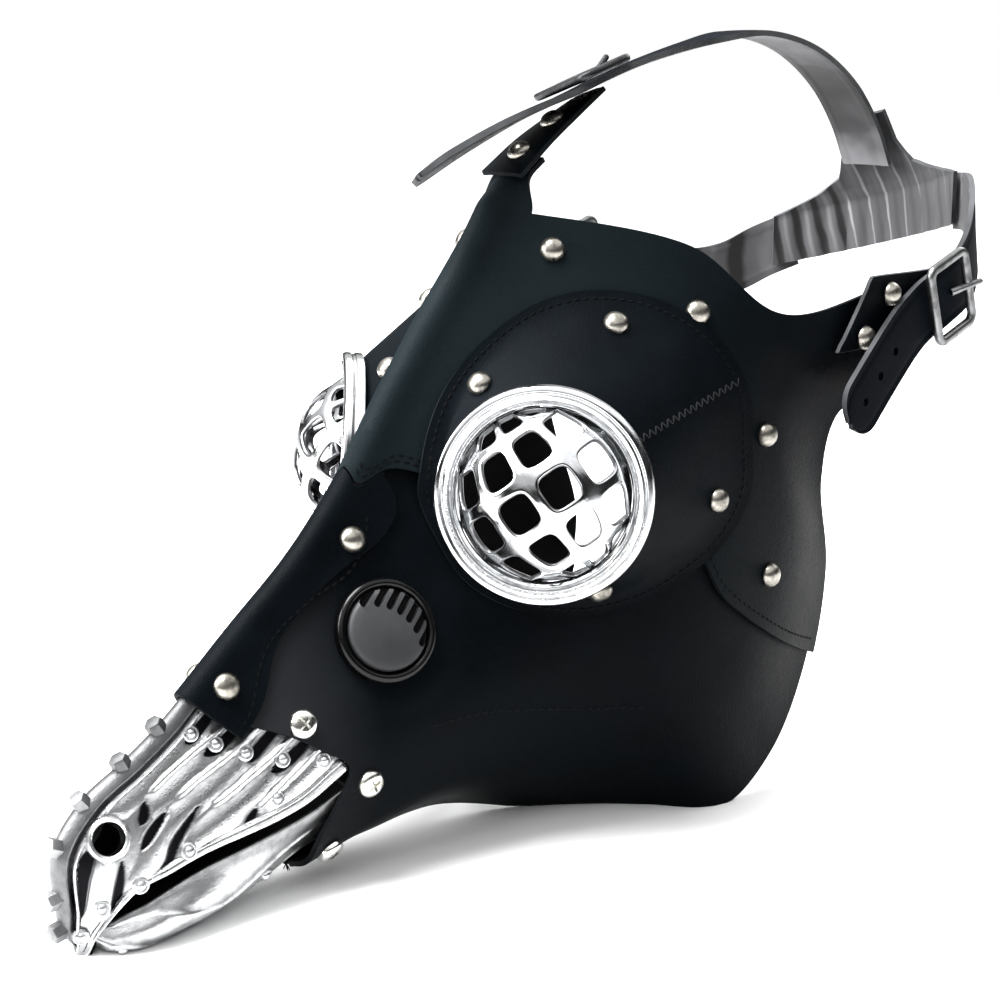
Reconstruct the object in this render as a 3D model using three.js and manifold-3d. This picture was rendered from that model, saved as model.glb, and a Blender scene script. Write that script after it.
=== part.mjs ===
// Plague doctor mask: leather walls over a cast beak, round pierced eyes and a buckled head harness.
// Millimetres. +Z is up, the beak points to -Y and the wearer's left is +X. The mask stands on z = 0.
import * as THREE from "three";
import { mergeVertices } from "three/addons/utils/BufferGeometryUtils.js";
import Module from "manifold-3d";

const wasm = await Module();
wasm.setup();

// Driving dimensions
const LEATHER = 1.8;
const GAP = 0.3;
const LAYER_GAP = 0.6; // between leather layers that lie on each other
const TIP_TO_CENTRE = 196.26; // along Y, from the beak tip to the middle of the whole mask
const FOLD_LENGTH = 9; // half the width of the rounded fold along the ridge
const FOLD_AT = 0.12; // where the fold, the middle and the low point sit along a rib
const MIDDLE_AT = 0.5;
const LOW_AT = 0.75;

const EYE = { x: 48.5, y: 145, z: 119.2, azimuth: 38, elevation: 6, radius: 34.4, depth: 7 };
const EYE_HOLE = { radius: 28, depth: 70 };
const DOME = { radius: 30, rim: 27.1, wall: 2.2, sunk: 3, play: 0.5 };
const LATTICE = { pitch: 15.8, bar: 4.8, turn: 35, band: 0.1, step: 0.25 }; // turn in degrees, band in radians
const COLLAR_TOP_RADIUS = 32.6;

const VALVE = { rib: 8.18, along: 0.297, radius: 16.6, seat: 18, blend: 28 };
const VALVE_SLOT = { count: 7, pitch: 3.3, width: 1.9, length: 6, depth: 1.6, reach: 10.4, turn: 50 };

const BEAK_WALL = 2.2;
const BEAK_CORE = 0.6; // at most this part of the way to the middle, where the tip is narrow
const BEAK_CLEARANCE = 1.2; // the beak sits this far inside the leather that covers its root
const BEAK_END = 7.35; // rib at which the covered root ends
const BEAK_ROOT = 0.6; // how deep raised work on the beak is rooted in its wall
const BAND = { ridge: 0.05, mouth: 0.44, height: 1.3 };
const PLATE = { half: 0.036, crest: 1.7, lip: 0.3 };
const BOLT = { radius: 2.6, height: 3.4 };
const NOSTRIL = { rib: 2.6, along: 0.15, hole: 4.6, ring: 6.6, height: 2.4, depth: 8 };
const MOUTH_GAP = 0.06; // the lower beak starts this far below the mouth line, along the rib
const LOWER_BEAK = { front: 1, end: 7.2, inset: 1.2 };

const STRAP = 21.5;
const STRAP_THICKNESS = 2;
const TAB = 24;
const TAB_TOP = 18; // width of the tabs on the forehead
const BUCKLE = { width: 30, length: 25, wire: 3.4, thick: 2.8, prong: 2.8, overhang: 1, proud: 0.8 };

// Finishes
const finish = (color, roughness, metalness) => ({ color, roughness, metalness });
const BLACK_LEATHER = finish(0x15171b, 0.5, 0);
const CHROME = finish(0xd8dadd, 0.12, 1);
const NICKEL = finish(0x8f8a80, 0.3, 1);
const GUNMETAL = finish(0x5d5f63, 0.35, 1);
const PLASTIC = finish(0x101113, 0.35, 0);
const GREY_PLASTIC = finish(0x3c3f43, 0.6, 0);

// The skin is a fan of ribs from the beak tip up to the forehead. Each rib starts on the ridge in the
// mid-plane, leaves it at the fold angle, and passes a middle point on its way to the free edge.
// Ribs 0 to 6 are the beak, with the middle point on the mouth line and the edge on the keel.
const RIBS = [
  // ridge y, z, fold angle, middle x, y, z, edge x, y, z, belly, and for some the low point x, y, z
  [-1.5, 3, 45, 2.8, 1.4, -2.8, 0, 3, -3.4, 0.3],
  [-3.5, 16, 42, 7, 5, 9, 0, 5, 1.6, 3],
  [-3.5, 32, 40, 12.5, 18, 17, 0, 15, 0.6, 6.5],
  [6.5, 44, 38, 15.8, 34, 24, 0, 31, 0.6, 8.5],
  [20.5, 51.5, 35, 18.5, 50, 28, 0, 48, 1.2, 9],
  [33, 59, 32, 19.8, 62, 30.5, 0, 66, 2.6, 8.5],
  [42.4, 66, 30, 20.8, 72, 33, 0, 80, 4.5, 8],
  [64, 83, 29, 23, 87, 40, 0, 112, 7, 8],
  [86, 100, 27, 29, 117, 50, 0, 146, 7, 9],
  [106.5, 121, 27, 37, 146, 58, 18, 186, -1.5, 7],
  [118.5, 137, 29, 45, 165, 66, 40, 207, -1.5, 5],
  [126.5, 148, 32, 51, 177, 76, 58, 221, -1.5, 4],
  [134.5, 158, 35, 55, 187, 92, 58.2, 250.6, 11.3, 7],
  [142.5, 168, 37, 56, 194, 110, 56.8, 271.1, 38.4, 8.5],
  [150.5, 177, 39, 55, 200, 129, 56.1, 279.8, 72.7, 8.5],
  [158.5, 186, 41, 53, 206, 147, 59.3, 271.2, 107, 7],
  [162, 190, 42, 51, 210, 161, 65.9, 271.1, 132.2, 0, 64, 237, 149],
  [166.5, 195.5, 42, 48.5, 214, 176, 73.5, 286, 143, 0, 65.5, 239, 158],
  [171.5, 202.5, 42, 46, 217, 190, 73.5, 288, 174, 0, 64.5, 239, 168.5],
].map(([ridgeY, ridgeZ, angle, midX, midY, midZ, edgeX, edgeY, edgeZ, belly, ...lowPoint]) => {
  const ridge = new THREE.Vector3(0, ridgeY, ridgeZ);
  const middle = new THREE.Vector3(midX, midY, midZ);
  const edge = new THREE.Vector3(edgeX, edgeY, edgeZ);
  const down = new THREE.Vector3(0, midY - ridgeY, midZ - ridgeZ).normalize();
  const reach = Math.min(FOLD_LENGTH, 0.3 * ridge.distanceTo(middle));
  const turn = THREE.MathUtils.degToRad(angle);
  const fold = ridge.clone().addScaledVector(down, reach * Math.cos(turn));
  fold.x += reach * Math.sin(turn);
  const chord = edge.clone().sub(middle).normalize();
  const outward = new THREE.Vector3(1, 0, 0).addScaledVector(chord, -chord.x).normalize();
  const low = middle.clone().lerp(edge, 0.5).addScaledVector(outward, belly);
  if (lowPoint.length) {
    low.set(...lowPoint);
  }
  return { ridge, fold, middle, low, edge };
});
const LAST_RIB = RIBS.length - 1;
const FIRST_LEATHER_RIB = 6;

const throughRibs = (key) => new THREE.CatmullRomCurve3(RIBS.map((rib) => rib[key]));
const KNOTS = ["ridge", "fold", "middle", "low", "edge"].map(throughRibs);
const KNOT_PLACES = [0, FOLD_AT, MIDDLE_AT, LOW_AT, 1];
const ribCurves = new Map();

// The rib at any place s, led over the ridge so that the fold is round.
function ribCurve(s) {
  if (!ribCurves.has(s)) {
    const points = KNOTS.map((curve) => curve.getPoint(s / LAST_RIB));
    const otherSide = points[1].clone();
    otherSide.x = -otherSide.x;
    ribCurves.set(s, new THREE.CatmullRomCurve3([otherSide, ...points]));
  }
  return ribCurves.get(s);
}

// A bare point of the skin: s counts ribs, t runs from the ridge (0) to the edge (1), and below 0 on the right.
function barePoint(s, t) {
  const along = Math.min(Math.abs(t), 1);
  let knot = 0;
  while (knot < KNOT_PLACES.length - 2 && along > KNOT_PLACES[knot + 1]) {
    knot += 1;
  }
  const step = (along - KNOT_PLACES[knot]) / (KNOT_PLACES[knot + 1] - KNOT_PLACES[knot]);
  const point = ribCurve(s).getPoint((knot + 1 + step) / KNOT_PLACES.length);
  if (t < 0) {
    point.x = -point.x;
  }
  return point;
}

function normalOf(surface, s, t) {
  const step = 0.01;
  const alongRib = surface(s, t + step > 1 ? 1 : t + step).sub(surface(s, t - step < -1 ? -1 : t - step));
  const upRibs = surface(Math.min(s + step, LAST_RIB), t).sub(surface(Math.max(s - step, 0), t));
  return alongRib.cross(upRibs).normalize();
}

const VALVE_SEAT = barePoint(VALVE.rib, VALVE.along);
const VALVE_AXIS = normalOf(barePoint, VALVE.rib, VALVE.along);

// The skin is pulled flat round each valve.
function skinPoint(s, t) {
  const point = barePoint(s, t);
  const side = t < 0 ? -1 : 1;
  const reach = point.clone();
  reach.x *= side;
  reach.sub(VALVE_SEAT);
  const height = reach.dot(VALVE_AXIS);
  const radius = reach.addScaledVector(VALVE_AXIS, -height).length();
  const hold = 1 - THREE.MathUtils.smoothstep(radius, VALVE.seat, VALVE.blend);
  const flat = VALVE_AXIS.clone().multiplyScalar(-height * hold);
  flat.x *= side;
  return point.add(flat);
}

const onSkin = (s, t, height) => skinPoint(s, t).addScaledVector(normalOf(skinPoint, s, t), height);

// A value read off a short table of [place, value] rows.
function readTable(rows, place) {
  const next = rows.findIndex(([at]) => at >= place);
  if (next <= 0) {
    return next === 0 ? rows[0][1] : rows[rows.length - 1][1];
  }
  const [from, low] = rows[next - 1];
  const [to, high] = rows[next];
  return THREE.MathUtils.mapLinear(place, from, to, low, high);
}

// Solids
const WELD = 1e-4; // corners closer than this are one
const SLACK = 0.1; // slivers left by joining and cutting are dropped within this distance

function solid(geometry) {
  const merged = mergeVertices(positionsOnly(geometry), WELD);
  const corners = merged.index.array;
  const kept = [];
  for (let i = 0; i < corners.length; i += 3) {
    const [a, b, c] = corners.slice(i, i + 3);
    if (a !== b && b !== c && c !== a) {
      kept.push(a, b, c);
    }
  }
  const vertProperties = merged.attributes.position.array;
  const mesh = { numProp: 3, vertProperties, triVerts: new Uint32Array(kept) };
  return new wasm.Manifold(new wasm.Mesh(mesh));
}

function geometryOf(body) {
  const { numProp, vertProperties, triVerts } = body.getMesh();
  const places = new Float32Array((vertProperties.length / numProp) * 3);
  for (let i = 0; i < places.length / 3; i += 1) {
    places.set(vertProperties.subarray(i * numProp, i * numProp + 3), i * 3);
  }
  const geometry = new THREE.BufferGeometry();
  geometry.setAttribute("position", new THREE.BufferAttribute(places, 3));
  geometry.setIndex(new THREE.BufferAttribute(triVerts, 1));
  return geometry;
}

// Faces turned round where they point inwards.
function facingOut(geometry) {
  const place = geometry.getAttribute("position");
  const index = geometry.index.array;
  const corner = (i) => new THREE.Vector3().fromBufferAttribute(place, index[i]);
  let volume = 0;
  for (let i = 0; i < index.length; i += 3) {
    volume += corner(i).dot(corner(i + 1).cross(corner(i + 2)));
  }
  if (volume < 0) {
    for (let i = 0; i < index.length; i += 3) {
      [index[i + 1], index[i + 2]] = [index[i + 2], index[i + 1]];
    }
  }
  return geometry;
}

function mirrored(geometry) {
  const copy = geometry.clone().scale(-1, 1, 1);
  return facingOut(copy);
}

// A closed wall between two faces, at(u, v, face), with face 0 inside and 1 outside. A ring closes along u.
function wall(at, columns, rows, ring = false) {
  const across = ring ? columns : columns + 1;
  const places = [];
  for (let face = 0; face < 2; face += 1) {
    for (let j = 0; j <= rows; j += 1) {
      for (let i = 0; i < across; i += 1) {
        places.push(...at(i / columns, j / rows, face).toArray());
      }
    }
  }
  const corner = (face, i, j) => (face * (rows + 1) + j) * across + (i % across);
  const index = [];
  const quad = (a, b, c, d) => index.push(a, b, c, a, c, d);
  for (let j = 0; j < rows; j += 1) {
    for (let i = 0; i < columns; i += 1) {
      quad(corner(1, i, j), corner(1, i + 1, j), corner(1, i + 1, j + 1), corner(1, i, j + 1));
      quad(corner(0, i, j + 1), corner(0, i + 1, j + 1), corner(0, i + 1, j), corner(0, i, j));
    }
    if (!ring) {
      quad(corner(1, 0, j + 1), corner(0, 0, j + 1), corner(0, 0, j), corner(1, 0, j));
      quad(corner(1, columns, j), corner(0, columns, j), corner(0, columns, j + 1), corner(1, columns, j + 1));
    }
  }
  for (let i = 0; i < columns; i += 1) {
    quad(corner(1, i, 0), corner(0, i, 0), corner(0, i + 1, 0), corner(1, i + 1, 0));
    quad(corner(1, i + 1, rows), corner(0, i + 1, rows), corner(0, i, rows), corner(1, i, rows));
  }
  const geometry = new THREE.BufferGeometry();
  geometry.setAttribute("position", new THREE.Float32BufferAttribute(places, 3));
  geometry.setIndex(index);
  return facingOut(geometry);
}

// A lathed piece with its axis along `axis` and its foot at `foot`.
function turned(profile, segments, foot, axis) {
  const lathe = new THREE.LatheGeometry(profile.map(([r, h]) => new THREE.Vector2(r, h)), segments);
  const turn = new THREE.Quaternion().setFromUnitVectors(new THREE.Vector3(0, 1, 0), axis);
  lathe.applyQuaternion(turn).translate(foot.x, foot.y, foot.z);
  return facingOut(mergeVertices(positionsOnly(lathe), WELD));
}

function positionsOnly(geometry) {
  const bare = new THREE.BufferGeometry().setAttribute("position", geometry.getAttribute("position"));
  return geometry.index ? bare.setIndex(geometry.index) : bare;
}

const mask = new THREE.Group();
mask.position.y = -TIP_TO_CENTRE;

// The same body as one plain skin, without the slivers along its joins.
const tidied = (body) => solid(geometryOf(body)).simplify(SLACK);

function addPiece(name, body, look) {
  const material = new THREE.MeshStandardMaterial(look);
  const mesh = new THREE.Mesh(geometryOf(tidied(body)), material);
  mesh.name = name;
  mask.add(mesh);
}

// The same piece on both sides of the mask.
function addPair(name, body, look) {
  const left = tidied(body);
  addPiece(`${name}_left`, left, look);
  addPiece(`${name}_right`, solid(mirrored(geometryOf(left))), look);
}

const FLOOR_CUT = solid(new THREE.BoxGeometry(400, 900, 100).translate(0, 200, -50));
const OTHER_SIDE = solid(new THREE.BoxGeometry(200, 900, 900).translate(GAP / 2 - 100, 200, 0));

// The eye's own axes: out along the axis, u towards the temple, v up
const azimuth = THREE.MathUtils.degToRad(EYE.azimuth);
const elevation = THREE.MathUtils.degToRad(EYE.elevation);
const EYE_CENTRE = new THREE.Vector3(EYE.x, EYE.y, EYE.z);
const EYE_AXIS = new THREE.Vector3(
  Math.sin(azimuth) * Math.cos(elevation),
  -Math.cos(azimuth) * Math.cos(elevation),
  Math.sin(elevation),
);
const EYE_U = new THREE.Vector3(Math.cos(azimuth), Math.sin(azimuth), 0);
const EYE_V = EYE_AXIS.clone().cross(EYE_U);

// A point in the eye's axes: angle from u towards v, radius, and height along the axis.
function eyePoint(angle, radius, height) {
  return EYE_CENTRE.clone()
    .addScaledVector(EYE_U, radius * Math.cos(angle))
    .addScaledVector(EYE_V, radius * Math.sin(angle))
    .addScaledVector(EYE_AXIS, height);
}

// Where a line along the eye's axis meets the skin.
const SKIN_SAMPLES = [];
for (let s = FIRST_LEATHER_RIB; s <= LAST_RIB; s += 0.5) {
  for (let t = 0; t <= 1; t += 0.05) {
    SKIN_SAMPLES.push({ s, t, point: skinPoint(s, t) });
  }
}

function dropToSkin(from, height) {
  const sideways = (point) => {
    const off = point.clone().sub(from);
    return [off.dot(EYE_U), off.dot(EYE_V)];
  };
  const reach = ({ point }) => Math.hypot(...sideways(point));
  let { s, t } = SKIN_SAMPLES.reduce((best, sample) => (reach(sample) < reach(best) ? sample : best));
  for (let round = 0; round < 12; round += 1) {
    const step = 0.01;
    const [u, v] = sideways(onSkin(s, t, height));
    const [us, vs] = sideways(onSkin(s + step, t, height)).map((value, i) => (value - [u, v][i]) / step);
    const [ut, vt] = sideways(onSkin(s, t + step, height)).map((value, i) => (value - [u, v][i]) / step);
    const area = us * vt - ut * vs;
    s = THREE.MathUtils.clamp(s - (u * vt - v * ut) / area, FIRST_LEATHER_RIB, LAST_RIB - step);
    t = THREE.MathUtils.clamp(t - (us * v - vs * u) / area, -0.3, 1 - step);
  }
  return { s, t, point: onSkin(s, t, height) };
}

// Leather walls
const BROW_LEVEL = LEATHER + LAYER_GAP;
const CUT_DEPTH = 6; // how far a trimming cut reaches under the skin
// Lines along the ribs that every leather wall shares, closest at the fold
const T_LINES = [0, 0.04, 0.08, 0.12, 0.2, 0.3, 0.4, 0.5, 0.58, 0.66, 0.75, 0.83, 0.91, 1];
const PANEL_FIRST_LINE = 2;
// Front rim of the leather over the beak, set back to the corner of the mouth: [t, rib]
const LEATHER_RIM = [
  [0, 6],
  [0.2, 6.2],
  [0.4, 6.75],
  [0.5, 6.95],
  [0.58, 6.4],
  [0.66, 6],
  [0.75, 5.8],
  [0.83, 5.8],
  [1, 6],
];
const PANEL_TOP = 13.5;
// Lower edge of the brow panel, from its point on the nose, under the eye collar, to the rear edge: [t, rib]
const BROW_EDGE = [
  [0, 9.25],
  [0.04, 9.1],
  [0.12, 9.65],
  [0.2, 10.1],
  [0.3, 10.7],
  [0.5, 12.5],
  [0.56, 12.75],
  [0.64, 12.52],
  [0.72, 12.58],
  [0.79, 12.7],
  [1, 13.15],
];

const lerp = THREE.MathUtils.lerp;

// One side wall between two heights over the skin, cut off in the mid-plane.
function sideSheet(low, high) {
  const lines = T_LINES.slice(PANEL_FIRST_LINE);
  const columns = lines.length - 1;
  const at = (u, v, face) => {
    const t = lines[Math.round(u * columns)];
    const s = lerp(readTable(LEATHER_RIM, t), PANEL_TOP, v);
    return onSkin(s, t, face ? high : low);
  };
  return solid(wall(at, columns, 10)).subtract(OTHER_SIDE);
}

function browSheet(low, high) {
  const columns = T_LINES.length - 1;
  const at = (u, v, face) => {
    const line = Math.round(2 * u * columns) - columns;
    const t = Math.sign(line) * T_LINES[Math.abs(line)];
    const s = lerp(readTable(BROW_EDGE, Math.abs(t)), LAST_RIB, v);
    return onSkin(s, t, face ? high : low);
  };
  return solid(wall(at, 2 * columns, 8));
}

// Half width of the nose strip along the ridge: [rib, t]
const STRIP_WIDTH = [[6, 0.235], [6.4, 0.22], [7.1, 0.13], [7.7, 0.14], [8.3, 0.19], [8.7, 0.18], [9.1, 0.12]];
const STRIP_FRONT = 6;
const STRIP_STOP = 0.09; // the strip ends this part of a rib before the brow panel

function noseStrip() {
  const at = (u, v, face) => {
    const rough = lerp(STRIP_FRONT, readTable(BROW_EDGE, 0) - STRIP_STOP, v);
    const t = lerp(-1, 1, u) * readTable(STRIP_WIDTH, rough);
    const end = readTable(BROW_EDGE, Math.abs(t)) - STRIP_STOP;
    const s = lerp(STRIP_FRONT, end, v);
    return onSkin(s, t, BROW_LEVEL + face * LEATHER);
  };
  return solid(wall(at, 6, 8));
}

// Sewn base of the eye collar seen along the eye's axis: [angle, radius], anticlockwise from u
const COLLAR_BASE = [
  [-180, 41.2],
  [-155, 38],
  [-132, 38.6],
  [-100, 39.5],
  [-66, 43.6],
  [-25, 53.7],
  [-4, 59.8],
  [12, 61.7],
  [32, 68.2],
  [58, 67.4],
  [74, 63.8],
  [91, 58.8],
  [112, 51.8],
  [140, 45.6],
  [169, 41.5],
  [180, 41.2],
];
const COLLAR_SINK = 3.5; // the collar is made this much too deep and then trimmed to the panels
const collarFeet = new Map();

function collarFoot(degrees) {
  if (!collarFeet.has(degrees)) {
    const from = eyePoint(THREE.MathUtils.degToRad(degrees), readTable(COLLAR_BASE, degrees), 0);
    collarFeet.set(degrees, dropToSkin(from, 2 * LEATHER).point);
  }
  return collarFeet.get(degrees).clone();
}

// The collar's outer face: v runs from the ring (0) to the sewn base (1) and on into the panels.
function collarPoint(degrees, v) {
  const top = eyePoint(THREE.MathUtils.degToRad(degrees), COLLAR_TOP_RADIUS, -EYE.depth - GAP);
  return top.lerp(collarFoot(degrees), v);
}

function collarNormal(degrees, v) {
  const step = 2;
  const round = collarPoint(degrees + step, v).sub(collarPoint(degrees - step, v));
  const down = collarPoint(degrees, v + 0.05).sub(collarPoint(degrees, v - 0.05));
  return down.cross(round).normalize();
}

function collar() {
  const at = (u, v, face) => {
    const degrees = -180 + 360 * u;
    const length = collarPoint(degrees, 0).distanceTo(collarPoint(degrees, 1));
    const point = collarPoint(degrees, v * (1 + COLLAR_SINK / length));
    const inward = EYE_CENTRE.clone().sub(point);
    inward.addScaledVector(EYE_AXIS, -inward.dot(EYE_AXIS)).normalize();
    return point.addScaledVector(inward, (1 - face) * LEATHER);
  };
  return solid(wall(at, 28, 2, true));
}

const alongAxis = (foot, axis, reach) => foot.clone().addScaledVector(axis, reach);

// A round bar from one height to another over a foot.
function bar(foot, axis, radius, low, high, segments) {
  return solid(turned([[0, low], [radius, low], [radius, high], [0, high]], segments, foot, axis));
}

// A flat ribbon along a path, with its outer face turned to `outward`. Its width and its twist in degrees
// may follow the path, and the first end may be cut on a slant.
const ROW_CROWDING = 1.3; // rows lie closer at the first end
function ribbonFrame(points, shape, way) {
  const path = new THREE.CatmullRomCurve3(points.map((point) => new THREE.Vector3(...point)));
  const point = path.getPointAt(way);
  const along = path.getTangentAt(way);
  const across = shape.outward(point).cross(along).normalize();
  if (shape.twist) {
    across.applyAxisAngle(along, THREE.MathUtils.degToRad(shape.twist(way)));
  }
  const out = along.clone().cross(across).normalize();
  return { point, along, across, out };
}

function ribbon(points, shape, rows) {
  const { width, thickness, slant = 0 } = shape;
  const at = (u, v, face) => {
    const way = v ** ROW_CROWDING;
    const { point, along, across, out } = ribbonFrame(points, shape, way);
    const off = (u - 0.5) * width(way);
    point.addScaledVector(across, off).addScaledVector(along, off * slant * (1 - way));
    return point.addScaledVector(out, (face - 0.5) * thickness);
  };
  return solid(wall(at, 1, rows));
}

const UPRIGHT = new THREE.Vector3(0, 0, 1);
const SIDEWAYS = new THREE.Vector3(1, 0, 0);
const plainWidth = (width) => () => width;
// A strap narrows to a rounded tail over its first part.
const tailWidth = (width, part) => (v) => width * (v < part ? 0.35 + 0.65 * Math.sqrt(v / part) : 1);
const upwards = () => UPRIGHT.clone();
const sideways = () => SIDEWAYS.clone();
const HEAD_MIDDLE = 330; // y at which the side straps begin to turn round the head
const fromHead = (point) => new THREE.Vector3(point.x, Math.max(0, point.y - HEAD_MIDDLE), 0);

const eyeHole = bar(EYE_CENTRE, EYE_AXIS, EYE_HOLE.radius, -EYE_HOLE.depth, 0, 22);
const eyeHoles = eyeHole.add(solid(mirrored(geometryOf(eyeHole))));
// The forehead tab grows out of the brow panel: [x, y, z]
const FOREHEAD_TAB = [[0, 163.4, 196.7], [0, 167.6, 201.6], [0, 177, 210], [0, 189, 218]];
const foreheadWidth = (v) => TAB_TOP * Math.min(1, 0.4 + 1.6 * v);
const foreheadTab = ribbon(FOREHEAD_TAB, { width: foreheadWidth, thickness: LEATHER, outward: upwards }, 6);
const browBody = browSheet(BROW_LEVEL, BROW_LEVEL + LEATHER).add(foreheadTab).subtract(eyeHoles);
const sideBody = sideSheet(0, LEATHER).subtract(eyeHole).subtract(FLOOR_CUT);
const collarBody = collar()
  .subtract(browSheet(-CUT_DEPTH, BROW_LEVEL + LEATHER + GAP))
  .subtract(sideSheet(-CUT_DEPTH, LEATHER + GAP));
addPiece("brow_panel", browBody, BLACK_LEATHER);
addPiece("nose_strip", noseStrip(), BLACK_LEATHER);
addPair("side_panel", sideBody, BLACK_LEATHER);
addPair("eye_collar", collarBody, BLACK_LEATHER);

// Eyes: a stepped ring and a pierced dome. [radius, height along the eye's axis]
const BEZEL_PROFILE = [
  [EYE.radius, -EYE.depth],
  [EYE.radius, -1.6],
  [33.2, 0],
  [31, 0],
  [30.2, -1.2],
  [28.8, -1.2],
  [DOME.rim + DOME.play, -2.6],
  [DOME.rim + DOME.play, -EYE.depth],
  [EYE.radius, -EYE.depth],
];
addPair("eye_bezel", solid(turned(BEZEL_PROFILE, 22, EYE_CENTRE, EYE_AXIS)), CHROME);

// A point of the dome: alpha and beta lean from the eye's axis along and across the lattice, in radians.
const RIM_ANGLE = Math.asin(DOME.rim / DOME.radius);
const DOME_CENTRE = alongAxis(EYE_CENTRE, EYE_AXIS, -DOME.sunk - DOME.radius * Math.cos(RIM_ANGLE));
const LATTICE_TURN = THREE.MathUtils.degToRad(LATTICE.turn);
const LATTICE_U = EYE_U.clone().applyAxisAngle(EYE_AXIS, LATTICE_TURN);
const LATTICE_V = EYE_V.clone().applyAxisAngle(EYE_AXIS, LATTICE_TURN);

function domePoint(alpha, beta, radius) {
  return DOME_CENTRE.clone()
    .addScaledVector(EYE_AXIS, radius * Math.cos(alpha) * Math.cos(beta))
    .addScaledVector(LATTICE_U, radius * Math.sin(alpha) * Math.cos(beta))
    .addScaledVector(LATTICE_V, radius * Math.sin(beta));
}

// A bar of the lattice at a lean, running from rim to rim. The crossing bars lie a little deeper.
function latticeBar(lean, crossing) {
  const reach = Math.acos(Math.cos(RIM_ANGLE - LATTICE.band / 2) / Math.cos(lean));
  const at = (u, v, face) => {
    const way = lerp(-reach, reach, v);
    const half = LATTICE.bar / 2 / DOME.radius / (crossing ? 1 : Math.cos(way));
    const side = lean + lerp(-half, half, u);
    const depth = crossing ? LATTICE.step : 0;
    const radius = DOME.radius - (face ? depth : DOME.wall - depth);
    return crossing ? domePoint(way, side, radius) : domePoint(side, way, radius);
  };
  return solid(wall(at, 1, 4));
}

function grille() {
  const ring = (angle, radius) => [radius * Math.sin(angle), radius * Math.cos(angle)];
  const [top, low] = [RIM_ANGLE - LATTICE.band, RIM_ANGLE];
  const [outer, inner] = [DOME.radius - 2 * LATTICE.step, DOME.radius - DOME.wall + 2 * LATTICE.step];
  const rim = [ring(low, outer), ring(top, outer), ring(top, inner), ring(low, inner), ring(low, outer)];
  let body = solid(turned(rim, 18, DOME_CENTRE, EYE_AXIS));
  const pitch = LATTICE.pitch / DOME.radius;
  for (const place of [-1, 0, 1]) {
    body = body.add(latticeBar(place * pitch, false));
  }
  for (const place of [-1.5, -0.5, 0.5, 1.5]) {
    body = body.add(latticeBar(place * pitch, true));
  }
  return body;
}
addPair("eye_grille", grille(), CHROME);

// Breathing valves on the cheeks. [radius, height over the leather]
const VALVE_BODY_PROFILE = [
  [0, 0],
  [VALVE.radius, 0],
  [VALVE.radius - 0.6, 2.9],
  [VALVE.radius - 1.8, 3.7],
  [13.6, 3.3],
  [13.2, 1.2],
  [0, 1.2],
];
const VALVE_CAP_PROFILE = [[0, 1.5], [12.8, 1.5], [12.8, 3.4], [11.6, 4.8], [0, 5.6]];
const VALVE_FOOT = alongAxis(VALVE_SEAT, VALVE_AXIS, LEATHER + 1.5 * GAP);

function valveCap() {
  const across = UPRIGHT.clone().cross(VALVE_AXIS).normalize();
  const turn = THREE.MathUtils.degToRad(VALVE_SLOT.turn);
  const along = across.clone().applyAxisAngle(VALVE_AXIS, turn);
  const side = VALVE_AXIS.clone().cross(along);
  let cap = solid(turned(VALVE_CAP_PROFILE, 18, VALVE_FOOT, VALVE_AXIS));
  for (let i = 0; i < VALVE_SLOT.count; i += 1) {
    const off = (i - (VALVE_SLOT.count - 1) / 2) * VALVE_SLOT.pitch;
    const end = Math.sqrt(Math.max(VALVE_SLOT.reach ** 2 - off ** 2, 1));
    const place = new THREE.Matrix4().makeBasis(side, along, VALVE_AXIS.clone().negate());
    const slot = new THREE.BoxGeometry(VALVE_SLOT.width, VALVE_SLOT.length, 4).applyMatrix4(place);
    const foot = alongAxis(VALVE_FOOT, VALVE_AXIS, 7.2 - VALVE_SLOT.depth)
      .addScaledVector(side, off)
      .addScaledVector(along, end - VALVE_SLOT.length / 2);
    cap = cap.subtract(solid(facingOut(positionsOnly(slot.translate(foot.x, foot.y, foot.z)))));
  }
  return cap;
}
addPair("valve_body", solid(turned(VALVE_BODY_PROFILE, 18, VALVE_FOOT, VALVE_AXIS)), PLASTIC);
addPair("valve_cap", valveCap(), GREY_PLASTIC);

// Cast beak
function beakCentre(s) {
  const [, ridge, , middle] = ribCurve(s).points;
  return ridge.clone().lerp(middle, 0.5).setX(0);
}

const onBeak = (s, t, height) => onSkin(s, t, height - BEAK_CLEARANCE);

// The inside of the beak's wall, drawn towards the middle of its section.
function insideBeak(point, s) {
  const way = beakCentre(s).sub(point);
  return point.addScaledVector(way, Math.min(BEAK_CORE, BEAK_WALL / way.length()));
}

// A raised plate of the beak, low on its ridge side and high on its mouth side. along(v) gives rib and place.
function raisedPlate(along, rows) {
  const at = (u, v, face) => {
    const { s, t } = along(v);
    const height = lerp(PLATE.lip, PLATE.crest, u);
    return onBeak(s, t + (2 * u - 1) * PLATE.half, face ? height : -BEAK_ROOT);
  };
  return solid(wall(at, 1, rows));
}

// Plates from the leather rim forwards and down to the mouth band: rear rib and place, front rib and place
const PLATES = [
  [5.45, 0.1, 0.6, 0.25],
  [5.6, 0.19, 1.3, 0.345],
  [5.85, 0.27, 2, 0.415],
  [6.2, 0.35, 2.95, 0.435],
  [6.7, 0.43, 4.8, 0.46],
];
const PLATE_BEND = 1.7;
const BOLT_RIBS = [5, 3.95, 2.95, 2.1, 1.2, 0.5];

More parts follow.
